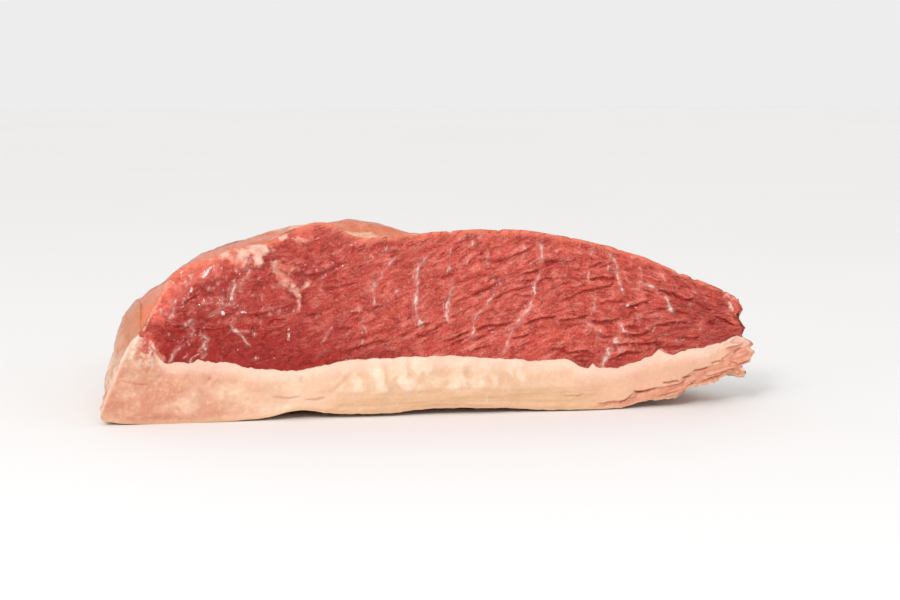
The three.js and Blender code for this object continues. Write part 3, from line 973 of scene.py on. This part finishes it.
    def membrane(self, islands: Array) -> Array:
        """Relief of the skin: slack folds that run towards the tip, small lumps and patches of fat.

        Args:
            islands: Where the patches are.

        Returns:
            How far the surface stands out, in millimetres; 0 on the cut face.
        """
        around, away = self.towards_tip()
        raised = 0.4 * self.grit.smooth(1, away / 20, around / 6)
        raised += 0.14 * self.grit.smooth(1, away / 8, around / 2.2)
        raised += self.grit.layered({7: 0.4, 2.6: 0.16}, *self.places.T) + 0.35 * islands - 0.4
        return (1 - self.facing) * raised * smooth_step(self.normals[:, 2], -0.3, 0.2)

    def islands(self) -> Array:
        """Where pale fat lies on the membrane: irregular patches, longer towards the tip.

        Returns:
            Values from 0 to 1.
        """
        across, back, _ = self.places.T
        around, away = self.towards_tip()
        level = self.grit.smooth(1, away / 24, around / 13, 4.7)
        level += 0.4 * self.grit.smooth(1, away / 7, around / 4.5, 6.5)
        level += 0.15 * self.grit.smooth(1.6, *self.places.T)
        start, end = self.hump_foot
        foot = smooth_step(across, start, start + 2.5) * smooth_step(across, end, end - 5)
        foot *= smooth_step(back, 0.5, 1.5) * smooth_step(back, 9.5, 6)
        return np.maximum(smooth_step(level, 0.3, 0.8), foot)

    def towards_tip(self) -> tuple[Array, Array]:
        """Angle about the tip, as millimetres at arm's length, and distance from it."""
        reach = self.places[:, [0, 1]] - self.tip
        return self.arm * np.arctan2(reach[:, 0], -reach[:, 1]), np.linalg.norm(reach, axis=1)

    def fibre(self, along: Array, crossing: Array) -> Array:
        """Where each corner lies along and across the fibres, on the cut face and on the skin.

        Args:
            along: Coordinate along the fibres of the cut face, in millimetres.
            crossing: Coordinate across them.

        Returns:
            The two coordinates and a third that keeps the skin's pattern apart.
        """
        around, away = self.towards_tip()
        on_cut = np.stack([along, crossing, np.zeros_like(along)], axis=1)
        on_skin = np.stack([away, around, np.full_like(along, 50.0)], axis=1)
        return np.where((self.facing > 0.5)[:, None], on_cut, on_skin)

    def finish(self) -> bpy.types.Material:
        """Makes the piece's material."""
        return LeanFinish().material()


@dataclass(frozen=True)
class LeanFinish:
    """Moist raw beef on the cut face, and a tan membrane on the rest.

    Attributes:
        red: The flesh, which turns rich, pale, dark or bright in places; crease_shade is the painted shade
            in its creases.
        rim: Its brighter upper edge.
        halo: Flesh next to a vein.
        vein: The veins' own lines.
        glint: Painted highlight on the wettest spots.
        fat: The thin and, as fat_pale, the thick of the broad fat.
        skin: The membrane, with its own brown, red, warm and pale places.
    """

    red: int = 0xBC4B3D
    rich: int = 0xA62C21
    pale: int = 0xDC8676
    dark: int = 0x8C1913
    crease_shade: int = 0x80120C
    bright: int = 0xDC6C5A
    rim: int = 0xDC785E
    halo: int = 0xC8857A
    vein: int = 0xDDC3B8
    glint: int = 0xE6D6D2
    fat: int = 0xDA846F
    fat_pale: int = 0xEDBCA8
    skin: int = 0xB85C40
    skin_brown: int = 0x985038
    skin_red: int = 0xA04034
    skin_warm: int = 0xD47048
    skin_pale: int = 0xE8BA98

    def material(self) -> bpy.types.Material:
        """Builds the material.

        Returns:
            The finished material.
        """
        coat = Coat("raw_beef")
        place = coat.place()
        grain = coat.attribute("grain", "Vector")
        cut, cleft, glint = (coat.attribute(name) for name in ("cut", "cleft", "glint"))
        flesh = coat.noise(grain, 0.42, 6.0, 0.7, (0.4, 1.0, 1.0))
        specks = coat.noise(grain, 2.3, 2.0, 0.6, (0.6, 1.0, 1.0))
        mottle = coat.noise(place, 620.0, 2.0, 0.5)
        clouds = coat.noise(place, 90.0)
        blotches = coat.noise(place, 380.0, 2.0, 0.5)
        wrinkles = self.wrinkles(coat, grain) * (1.0 - 0.8 * coat.attribute("flush"))
        colour = self.cut_colour(coat, flesh, mottle, clouds, specks)
        # Painted shade in the creases, the clefts and the folds' lines.
        colour = coat.tint(colour, self.crease_shade, wrinkles * 0.55 + cleft * 0.8)
        frayed = 0.5 * (mottle - 0.5) + 0.6 * (blotches - 0.5) + 0.4 * (specks - 0.5)
        fat_share = coat.step(coat.attribute("fatty") + frayed, 0.05, 0.9)
        fat_colour = coat.tint(self.fat, self.fat_pale, coat.step(clouds + blotches, 0.85, 1.2))
        colour = coat.mix(colour, fat_colour, fat_share * 0.85)
        halo, line = self.vein_masks(coat, mottle)
        colour = coat.tint(coat.tint(colour, self.halo, halo), self.vein, line)
        # Painted highlights on the wet spots and in the fine noise.
        painted_highlights = coat.step(glint + 1.2 * (mottle - 0.5) + 1.2 * (specks - 0.5), 0.4, 1.2)
        colour = coat.tint(colour, self.glint, painted_highlights)
        colour = coat.mix(self.skin_colour(coat, grain, mottle, blotches), colour, cut)
        height = 0.35 * flesh + 0.2 * mottle + 0.3 * specks + 0.3 * line - 0.25 * wrinkles
        wet = coat.step(clouds + 0.5 * mottle, 0.55, 0.95)
        return coat.finish({
            "Base Color": colour,
            "Roughness": 0.45 - 0.2 * wet,
            "Normal": coat.bump(height, 0.6 * MM),
            "Coat Weight": (0.08 + 0.3 * wet + 0.4 * glint) * (0.2 + 0.8 * cut),
            "Coat Roughness": 0.1,
            "Subsurface Weight": 0.08,
            "Subsurface Radius": (1.0, 0.25, 0.15),
            "Subsurface Scale": 1.0 * MM,
            "Specular IOR Level": 0.15,
        })

    def wrinkles(self, coat: Coat, grain: Wire) -> Wire:
        """Thin broken creases that run with the fibres, which get painted shade.

        Args:
            coat: The material.
            grain: The coordinates along and across the fibres.

        Returns:
            A mask of the creases, for their painted shade and their bump.
        """
        long = coat.noise(grain, 0.8, 2.0, 0.5, (0.3, 1.0, 1.0))
        short = coat.noise(grain, 2.0, 1.0, 0.5, (0.45, 1.1, 1.0))
        broken = coat.step(coat.noise(grain, 0.5, 2.0, 0.5, (0.6, 1.0, 1.0)), 0.42, 0.6)
        lines = coat.step(abs(long - 0.5), 0.026, 0.0) + 0.5 * coat.step(abs(short - 0.5), 0.04, 0.0)
        return lines * broken

    def vein_masks(self, coat: Coat, mottle: Wire) -> tuple[Wire, Wire]:
        """Where the veins show.

        Args:
            coat: The material.
            mottle: Fine noise that makes their sides ragged.

        Returns:
            A mask of the flesh that a vein tints, and one of its own beaded line.
        """
        offset = abs(coat.attribute("vein"))
        strength = coat.attribute("vein_strength")
        beads = coat.step(coat.noise(coat.place(), 480.0, 3.0, 0.6), 0.42, 0.6)
        line = coat.step(offset + 1.6 * (mottle - 0.5), 1.0, 0.2) * strength * (0.08 + 0.92 * beads)
        return coat.step(offset + 1.2 * (mottle - 0.5), 3.0, 0.5) * strength * 0.55, line

    def cut_colour(self, coat: Coat, flesh: Wire, mottle: Wire, clouds: Wire, specks: Wire) -> Wire:
        """Colour of the cut muscle before its creases and its marbling, with painted highlight and shade
        that follow the relief.

        Args:
            coat: The material.
            flesh: Noise of the bundles of fibre.
            mottle: Fine noise.
            clouds: Broad noise.
            specks: Noise of single fibres.

        Returns:
            The colour.
        """
        from_top, from_seam, across = coat.parts(coat.attribute("edges", "Vector"))
        left = coat.step(across, 105.0, 45.0)
        darker = 0.6 * left + coat.step(across, 150.0, 195.0) * 0.25 + coat.step(from_seam, 6.0, 0.0) * 0.3
        darker += 0.65 * left * coat.step(from_seam, 20.0, 2.0) + 0.4 * coat.step(clouds, 0.44, 0.72)
        red = coat.tint(self.red, self.dark, darker + 0.6 * coat.attribute("deepened"))
        # Painted highlight on the relief's crests and painted shade in its troughs.
        flesh += 0.12 * (coat.attribute("crest") - 0.5)
        red = coat.tint(red, self.pale, coat.step(flesh, 0.46, 0.68) * (0.7 - 0.5 * darker))
        red = coat.tint(red, self.rich, coat.step(flesh, 0.5, 0.36) * 0.4)
        red = coat.tint(red, self.pale, coat.step(specks, 0.5, 0.75) * (0.62 - 0.35 * darker))
        red = coat.tint(red, self.rich, coat.step(specks, 0.5, 0.25) * 0.75)
        # Brighter flesh, and painted light on the thin end's shaded side.
        flush = coat.attribute("flush") * (0.5 + 0.4 * coat.step(mottle, 0.3, 0.6))
        red = coat.tint(red, self.bright, flush)
        ragged_top = from_top + 1.6 * (mottle - 0.5) + 1.8 * (clouds - 0.5)
        return coat.tint(red, self.rim, coat.step(ragged_top / (1.0 + 0.5 * left), 2.4, 0.0) * 0.75)

    def skin_colour(self, coat: Coat, grain: Wire, mottle: Wire, blotches: Wire) -> Wire:
        """Colour of the membrane: orange and brown, red where it is thin, pale on its fat, with painted
        shade in its wrinkles.

        Args:
            coat: The material.
            grain: The coordinates towards and about the tip.
            mottle: Fine noise.
            blotches: Noise of small patches.

        Returns:
            The colour.
        """
        place = coat.place()
        patches = coat.noise(place, 42.0, 4.0, 0.6)
        strands = coat.noise(grain, 1.0, 3.0, 0.55, (0.05, 0.5, 1.0))
        wrinkles = abs(coat.noise(grain, 1.0, 3.0, 0.6, (0.06, 0.16, 1.0)) - 0.5)
        behind = (coat.parts(place)[1] - cut_plane()) / MM + 3.0 * (blotches - 0.5)
        near_cut = coat.step(behind + 30.0 * (patches - 0.5), 50.0, 15.0)
        island = coat.attribute("island") + 1.1 * (blotches - 0.5) + 0.5 * (mottle - 0.5)
        tan = coat.tint(self.skin, self.skin_brown, coat.step(patches, 0.5, 0.38) * 0.8)
        tan = coat.tint(tan, self.skin_red, coat.step(patches + 0.3 * (mottle - 0.5), 0.5, 0.66) * 0.75)
        tan = coat.tint(tan, self.skin_warm, near_cut * 0.85)
        tan = coat.tint(tan, self.skin_pale, coat.step(strands, 0.5, 0.8) * 0.25)
        tan = coat.tint(tan, self.skin_pale, coat.step(island, 0.2, 1.0) * 0.7)
        # Painted shade along the membrane's wrinkles.
        tan = coat.tint(tan, self.skin_brown, coat.step(wrinkles, 0.012, 0.0) * 0.4)
        return coat.tint(tan, self.skin_pale, coat.step(behind, 4.0, 1.5) * 0.35)


# ------------------------------------------------------------ fat

# Strokes on the cut fat, in rows like those of the lean. Splits between torn flakes, which sink and get
# painted shade.
CRACKS = strokes(
    (0.8, 1.0, (167.5, 5.6), (171, 5.3), (175, 6.5)), (0.7, 0.9, (177, 8), (182.5, 8.5)),
    (0.6, 0.8, (183.5, 9.5), (186.5, 10)), (0.7, 0.9, (187, 11.5), (192, 12.5)),
    (0.6, 0.7, (193, 14), (196.5, 14.5)), (0.6, 0.8, (155.5, 1.9), (160, 2.3), (165, 3), (167.5, 5)),
    (0.5, 0.4, (144.5, 5), (149, 4.5), (150.5, 5.2)), (0.6, 0.5, (186, 6.5), (191, 8), (196, 9.5)),
    (0.5, 0.5, (176, 4), (182, 5)), (0.8, 0.7, (201.5, 17), (204.5, 18.5)),
    (1.0, 0.35, (52.8, 7.2), (57, 6.8), (60.5, 6.9)), (0.9, 0.4, (62.5, 6.2), (66, 6), (68.5, 6.4)),
    (0.5, 0.4, (6.5, 13.6), (10, 12.8), (14.5, 12.2)),
)
# Soft creases between the lobes of fat, which sink and get painted shade.
FOLDS = strokes(
    (1.4, 0.7, (113.5, 15.5), (113, 12), (114, 9)), (1.6, 0.7, (78, 15), (74, 11), (71, 8.5), (66, 8)),
    (1.6, 0.35, (72, 7.5), (90, 6.6), (113, 7.7), (140, 6.2)),
    (1.0, 0.8, (8.5, 16.5), (12, 14.8), (20, 14)), (2.6, 0.4, (30, 8), (44, 7), (52, 10)),
    (1.2, 0.6, (78, 4), (73, 3.6), (71.5, 1.5)),
)
# Small vessels and the red knot at the lean's lower left corner.
RED_SPOTS = strokes(
    (0.6, 0.8, (61, 12), (61.4, 13.5)), (0.6, 0.8, (104.5, 7.4), (104.5, 8)),
    (0.6, 0.7, (33, 13.2), (33.2, 13.9)), (5.6, 1.0, (14, 21.6), (16, 24.8)),
)
# Lumps of nearly white fat.
PALE_LUMPS = strokes(
    (4.2, 0.8, (4.5, 20.5), (8, 22.8), (11.5, 21.6)), (2.4, 0.9, (9.5, 25), (12, 26.5)),
    (2.4, 0.8, (16.8, 24.2), (18.6, 21.6), (20.5, 19)), (2.4, 0.7, (11.5, 19.4), (15.5, 19)),
    (5.0, 0.45, (24, 4), (28, 6.5), (31, 9)), (5.0, 0.45, (36, 9), (43, 7.5)),
    (4.0, 0.4, (48, 4.5), (55, 4)), (4.0, 0.4, (57, 11), (61, 8)), (3.0, 0.5, (86, 13), (85.5, 9)),
    (2.4, 0.5, (93.5, 13), (94, 9.5)), (2.6, 0.5, (109, 13), (109.5, 9.5)),
    (2.6, 0.5, (117.5, 12.5), (117, 9)),
)
# Where the torn underside of the right end starts, as (across, up).
TEAR_LINE = (
    (150, 1), (155, 1.8), (165, 3.2), (168, 5.2), (175, 6.6), (182, 8.7), (187, 11), (196, 14.3),
    (203, 19),
)


@dataclass
class FatCap(Layer):
    """The fat under the lean and up its left side, cut at the front and torn at the right.

    Attributes:
        corner: Middle of the lumpy corner next to the lean's lower left end.
        knot: Middle of the red and white curls there.
    """

    node: str = "fat_cap"
    slot: str = "fat"
    piece_name: str = "picanha_fat"
    hidden: Look = Look.UP
    grit: Grit = field(default_factory=lambda: Grit(29))
    corner: Place = (14.0, 22.5)
    knot: Place = (14.5, 23.0)

    def around(self, middle: Place, width: float) -> Array:
        """A bump of height 1 around a place of the cut face."""
        return bell(np.hypot(self.places[:, 0] - middle[0], self.places[:, 2] - middle[1]), width)

    def flakes(self) -> tuple[Array, Array, Array]:
        """Torn flaps below the tear line, each standing out over the next.

        Returns:
            How far the surface stands out, in millimetres, a mask of the splits between the flaps, and a
            mask of the torn part.
        """
        across, _, up = self.places.T
        below = np.interp(across, *zip(*TEAR_LINE)) - up + 0.5 * self.grit.smooth(2.5, across, up)
        torn = smooth_step(below, -0.3, 0.5) * smooth_step(across, 150, 156)
        torn = np.maximum(torn, smooth_step(across + 2 * self.grit.smooth(3, up), 197, 200))
        slanted = up - 0.3 * across
        level = self.grit.smooth(1, across / 12, slanted / 2.6, 2.2)
        level += 0.4 * self.grit.smooth(1, across / 4.5, slanted / 1.3, 6.1)
        lapped = smooth_step(level, -0.12, 0.12) - 0.5
        relief = 0.8 * lapped - 0.35 * bell(level, 0.14) + 0.3 * self.grit.smooth(1.8, across, up)
        return relief * torn, bell(level, 0.08) * torn, torn

    def clumps(self) -> tuple[Array, Array, Array]:
        """Upright pale clumps in the middle.

        Returns:
            How high they are, the region that they lie in, and the darker band under it, from 0 to 1.
        """
        across, _, up = self.places.T
        foot = up + 0.9 * self.grit.smooth(7, across, 3.0)
        region = smooth_step(across, 66, 84) * smooth_step(across, 150, 124) * smooth_step(foot, 6.4, 9.4)
        warped = across + 1.2 * self.grit.smooth(4, across, up)
        level = self.grit.smooth(1, warped / 3.0, up / 5.0)
        level += 0.5 * self.grit.smooth(1, warped / 1.4, up / 2.4)
        band = smooth_step(across, 62, 82) * smooth_step(across, 172, 140) * smooth_step(foot, 9.0, 5.6)
        return region * smooth_step(level, -0.55, 0.35), region, band

    def sculpt(self) -> None:
        """Gives the fat its relief and the values that its finish reads."""
        across, back, up = self.places.T
        flat = self.places[:, [0, 2]] + 0.3 * self.grit.smooth(2.5, across, up)[:, None]
        crack, crack_strength = drawn(CRACKS, flat, 3.0)
        fold, fold_strength = drawn(FOLDS, flat, 3.0)
        lumps = self.patches(PALE_LUMPS, flat + 0.5 * self.grit.smooth(1.5, across, up)[:, None])
        reds = self.patches(RED_SPOTS, flat)
        flakes, splits, torn = self.flakes()
        clumps, region, band = self.clumps()
        knotty = self.around(self.corner, 7)
        lobes = self.grit.smooth(2.4, across, up, 8.0)
        soft = self.grit.layered({9: 0.5, 3.5: 0.14, 1.2: 0.05}, across, up)
        soft += knotty * (0.9 * np.sqrt(np.abs(lobes)) + 0.3 * self.grit.smooth(1.1, across, up))
        soft += 0.15 * self.grit.smooth(1, across / 12, up / 0.9) * band
        proud = 0.25 * clumps + 0.45 * lumps + 0.4 * reds * smooth_step(across, 24, 20)
        gash = 0.9 * bell(crack, 0.8) * crack_strength + 0.35 * bell(fold, 1.1) * fold_strength
        from_edge = np.minimum(self.from_top, self.from_low)
        inside = smooth_step(from_edge, 0.1, 1.5)
        settled = back * smooth_step(from_edge, 0.6, 2.6)
        rind = self.rind()
        moved = self.places + rind[:, None] * self.normals + self.frayed_edges()
        moved[:, 1] -= (inside * (soft + proud + flakes - gash) - 0.4 + settled) * self.facing
        moved[:, 2] += self.fill()
        self.write(moved)
        self.carry_edges()
        self.carry(
            cut=self.facing,
            # crack, fold and split mark where the creases get painted shade.
            crack=bell(crack, 0.8) * crack_strength,
            fold=np.maximum(bell(fold, 1.0) * fold_strength, knotty * bell(lobes, 0.12)),
            split=np.clip(splits, 0, 1) * inside,
            torn=torn,
            pale=np.clip(clumps + lumps, 0, 1),
            clumpy=region,
            band=band,
            red_spot=reds,
            knot=self.around(self.knot, 5.5),
            # Painted shade in the hollows of the rind.
            hollow=smooth_step(rind, 0.1, -0.55),
            brim=smooth_step(self.normals[:, 2], 0.25, 0.6),
        )

    def fill(self) -> Array:
        """How far the top rises into the lean, so that no gap shows between the two.

        Returns:
            The rise of each corner, in millimetres.
        """
        across = self.places[:, 0]
        under = smooth_step(self.normals[:, 2], 0.55, 0.8) * smooth_step(across, 10.5, 13)
        at_cut = self.facing * smooth_step(self.from_top, 1.2, 0.0) * smooth_step(across, 12, 15)
        rise = 0.75 + np.maximum(seam_steps(across), 0)
        return rise * np.maximum(under, at_cut) * smooth_step(across, 206, 200)

    def frayed_edges(self) -> Array:
        """Shifts of the outline: a ragged lower edge, and layers torn off at different lengths.

        Returns:
            The shift of each corner, in millimetres.
        """
        across, back, up = self.places.T
        low = bell(self.from_low, 2.0) * smooth_step(across, 60, 75) * smooth_step(back, 60, 10)
        rising = np.abs(self.grit.smooth(3.2, across, back))
        rising += 0.6 * np.abs(self.grit.smooth(1.2, across, back))
        rising *= 0.35 + 0.9 * smooth_step(across, 165, 185)
        torn = smooth_step(across, 190, 204) * smooth_step(back, 50, 10)
        length = 0.5 + self.grit.smooth(1, up / 2.3, across / 9) + 0.5 * self.grit.smooth(1.6, up, back)
        return np.stack([-2.2 * torn * np.clip(length, 0, 1.4), np.zeros_like(up), low * rising], axis=1)

    def rind(self) -> Array:
        """Relief of the fat's outside: lumps and creases.

        Returns:
            How far the surface stands out, in millimetres; 0 on the cut face.
        """
        across, back, up = self.places.T
        lumps = self.grit.layered({9: 0.7, 1.9: 0.45}, across, back, up)
        lumps += 0.7 * self.grit.smooth(4.2, across, back, up * 1.5)
        lumps += 0.8 * bell(up - 13.5, 2.6) * smooth_step(back, 40, 15)
        outside = smooth_step(self.normals[:, 2], 0.75, 0.45) * smooth_step(self.normals[:, 2], -0.9, -0.5)
        return (1 - self.facing) * (lumps - 0.2) * outside

    def finish(self) -> bpy.types.Material:
        """Makes the piece's material."""
        return FatFinish().material()


@dataclass(frozen=True)
class FatFinish:
    """Raw beef fat: peach on the left, cream in the middle, torn and pink on the right.

    Attributes:
        peach: The left end, with rose in it.
        cream: The middle, with ivory and tan in it.
        pink: The strip next to the lean.
        flake: The torn flaps.
        gash: Painted shade in the splits and cracks.
        rind: The outside, which gets a brown painted shade in its pits.
        blood: The small vessels.
    """

    peach: int = 0xBC7C62
    rose: int = 0xC68B73
    cream: int = 0xD8B194
    ivory: int = 0xE4CDB6
    pink: int = 0xE6C4B2
    tan: int = 0xC29974
    flake: int = 0xC9856C
    gash: int = 0xA05238
    rind: int = 0xD4A386
    brown: int = 0xB86C46
    blood: int = 0xB2423A

    def material(self) -> bpy.types.Material:
        """Builds the material.

        Returns:
            The finished material.
        """
        coat = Coat("raw_fat")
        place = coat.place()
        clouds = coat.noise(place, 110.0)
        mottle = coat.noise(place, 600.0, 2.0, 0.5)
        pits = coat.noise(place, 260.0, 4.0, 0.6)
        grains = coat.noise(place, 1300.0, 2.0, 0.6)
        cut = coat.attribute("cut")
        on_cut = self.cut_colour(coat, clouds, mottle)
        colour = coat.mix(self.outside_colour(coat, clouds, pits), on_cut, cut)
        colour = coat.tint(colour, self.tan, coat.step(grains, 0.45, 0.2) * 0.35)
        colour = coat.tint(colour, self.ivory, coat.step(grains, 0.55, 0.8) * 0.28)
        height = (0.6 * clouds + 0.4 * mottle + 0.25 * grains) * cut + 2.5 * pits * (1.0 - cut)
        return coat.finish({
            "Base Color": colour,
            "Roughness": 0.5 - 0.15 * clouds,
            "Normal": coat.bump(height, 0.4 * MM),
            "Coat Weight": 0.12,
            "Coat Roughness": 0.2,
            "Subsurface Weight": 0.15,
            "Subsurface Radius": (1.0, 0.6, 0.4),
            "Subsurface Scale": 1.6 * MM,
            "Specular IOR Level": 0.25,
        })

    def cut_colour(self, coat: Coat, clouds: Wire, mottle: Wire) -> Wire:
        """Colour of the cut fat.

        Args:
            coat: The material.
            clouds: Broad noise.
            mottle: Fine noise.

        Returns:
            The colour.
        """
        place = coat.place()
        from_top, from_low, across = coat.parts(coat.attribute("edges", "Vector"))
        blush = coat.noise(place, 190.0, 3.0, 0.6)
        streaks = coat.noise(place, 1.0, 4.0, 0.62, (90.0, 1.0, 190.0))
        layers = coat.noise(place, 1.0, 3.0, 0.6, (90.0, 1.0, 500.0))
        curls = coat.noise(place, 420.0, 3.0, 0.6)
        knot = coat.attribute("knot")
        middle = coat.step(across + 30.0 * (clouds - 0.5), 16.0, 68.0)
        flushed = coat.step(across + 20.0 * (clouds - 0.5), 140.0, 170.0) * 0.35
        pale = coat.attribute("pale") * (0.2 + 0.65 * coat.step(blush, 0.3, 0.65))
        band = coat.attribute("band") * (0.65 + 0.35 * coat.step(layers, 0.38, 0.62))
        torn = coat.attribute("torn") * (0.35 + 0.5 * coat.step(mottle, 0.4, 0.7))
        red_spot = coat.attribute("red_spot") * (0.4 + 0.6 * coat.step(mottle, 0.4, 0.6))
        colour = coat.tint(self.peach, self.rose, coat.step(blush, 0.42, 0.62))
        for over, share in (
            (self.cream, middle + 0.6 * coat.step(streaks, 0.45, 0.78)),
            (self.ivory, coat.step(mottle, 0.5, 0.75) * 0.25),
            (self.tan, coat.step(mottle, 0.45, 0.2) * 0.3),
            (self.tan, coat.attribute("clumpy") * 0.4),
            (self.ivory, pale),
            (self.tan, band * 0.85),
            (self.flake, torn + flushed),
            (self.pink, coat.step(from_top + 3.0 * (blush - 0.5), 4.5, 0.6) * 0.65),
            (self.tan, coat.step(from_low, 1.6, 0.0) * 0.6),
            (self.ivory, knot * coat.step(curls, 0.52, 0.4) * 0.8),
            (self.blood, knot * coat.step(curls, 0.52, 0.64) * 0.7),
            # Painted shade in the creases, the splits and the cracks.
            (self.tan, coat.attribute("fold") * 0.6),
            (self.gash, coat.attribute("split") * 0.3 + coat.attribute("crack") * 0.85),
            (self.blood, red_spot),
        ):
            colour = coat.tint(colour, over, share)
        return colour

    def outside_colour(self, coat: Coat, clouds: Wire, pits: Wire) -> Wire:
        """Colour of the fat's outside: cream lumps, brown high up and next to the membrane, and brown
        painted shade in the pits.

        Args:
            coat: The material.
            clouds: Broad noise.
            pits: Noise of the pits.

        Returns:
            The colour.
        """
        painted_pit_shade = coat.step(pits, 0.52, 0.36) * 0.5 + coat.attribute("hollow") * 0.45
        brim = coat.step(coat.attribute("brim") + 1.2 * (clouds - 0.5), 0.3, 0.8) * 0.8
        up = coat.parts(coat.place())[2] / MM + 22.0 * (pits - 0.5) + 12.0 * (clouds - 0.5)
        colour = coat.tint(self.rind, self.ivory, coat.step(pits + 0.5 * clouds, 0.64, 0.94) * 0.75)
        for share in (coat.step(up, 17.0, 26.0) * 0.7, painted_pit_shade, brim):
            colour = coat.tint(colour, self.brown, share)
        return colour


# ------------------------------------------------------------ studio


class Lamp(Enum):
    """A kind of light, and the name of its size."""

    SUN = "angle"
    AREA = "size"


@dataclass
class Studio:
    """Floor, light and camera.

    Attributes:
        azimuth: The camera's turn about the piece, in degrees; below 0 it stands to the left.
        elevation: Its height above the horizon, in degrees.
        distance: From the cut face to the camera.
        lens: Focal length in millimetres.
        sensor: Width of the camera's sensor in millimetres.
        aim: What the middle of the picture shows: across from the piece's middle, behind the cut face,
            and up.
        lit: Height of the place that the lights look at.
        floor_colour: The floor, as on screen.
        floor_pale: Its paler clouds.
        surround: How bright the even light from all sides is.
    """

    azimuth: float = -11.0
    elevation: float = 6.5
    distance: float = 658.75 * MM
    lens: float = 85.0
    sensor: float = 36.0
    aim: tuple[float, float, float] = (3.88 * MM, -0.42 * MM, 36.18 * MM)
    lit: float = 30 * MM
    floor_colour: int = 0xE4E3E2
    floor_pale: int = 0xE9E8E7
    surround: float = 0.85

    @staticmethod
    def look_at(piece: bpy.types.Object, place: Vector) -> None:
        """Turns a light or a camera towards a place."""
        piece.rotation_euler = (place - piece.location).to_track_quat("-Z", "Y").to_euler()

    def camera(self) -> None:
        """Adds the camera at the photographed angle."""
        turn, rise = math.radians(self.azimuth), math.radians(self.elevation)
        back = Vector((math.sin(turn) * math.cos(rise), -math.cos(turn) * math.cos(rise), math.sin(rise)))
        aim = Vector((self.aim[0], cut_plane() + self.aim[1], self.aim[2]))
        bpy.ops.object.camera_add(location=aim + back * self.distance)
        camera = bpy.context.object
        self.look_at(camera, aim)
        camera.data.lens = self.lens
        camera.data.sensor_width = self.sensor
        camera.data.clip_start = 10 * MM
        bpy.context.scene.camera = camera

    def light(self, name: str, kind: Lamp, place: Sequence[float], size: float, power: float) -> None:
        """Adds a light that looks at the piece.

        Args:
            name: The light's name.
            kind: Its kind.
            place: Where it stands from the middle of the cut face, in metres.
            size: The angle that a sun fills, or the side of a square in metres.
            power: Its power, in watts, or watts to the square metre for a sun.
        """
        middle = Vector((0.0, cut_plane(), self.lit))
        bpy.ops.object.light_add(type=kind.name, location=middle + Vector(place))
        lamp = bpy.context.object
        lamp.name = name
        lamp.data.energy = power
        setattr(lamp.data, kind.value, size)
        self.look_at(lamp, middle)

    def surroundings(self) -> None:
        """Lights the scene evenly from all sides and sets how colours are shown."""
        world = bpy.data.worlds.new("soft_white")
        world.use_nodes = True
        background = world.node_tree.nodes["Background"]
        background.inputs["Color"].default_value = (1.0, 1.0, 1.0, 1.0)
        background.inputs["Strength"].default_value = self.surround
        bpy.context.scene.world = world
        bpy.context.scene.view_settings.view_transform = "Standard"

    def floor(self) -> None:
        """Lays the pale floor."""
        bpy.ops.mesh.primitive_plane_add(size=8.0, location=(0.0, 0.0, 0.0))
        floor = bpy.context.object
        floor.name = "pale_floor"
        coat = Coat("pale_floor")
        grey = coat.tint(self.floor_colour, self.floor_pale, coat.noise(coat.place(), 3.0))
        floor.data.materials.append(coat.finish({"Base Color": grey, "Roughness": 0.8}))

    def build(self) -> None:
        """Makes the studio."""
        self.camera()
        self.light("key", Lamp.SUN, (-0.55, -0.75, 0.6), math.radians(28), 1.2)
        self.light("glint", Lamp.AREA, (-0.4, -0.85, 0.45), 0.12, 4.0)
        self.surroundings()
        self.floor()


def main() -> None:
    """Builds the studio and both layers of the meat, and notes the sizes."""
    logging.basicConfig(level=logging.INFO, format="%(name)s: %(message)s")
    Studio().build()
    for layer in (FatCap(), Lean()):
        layer.build()


if __name__ == "__main__":
    main()
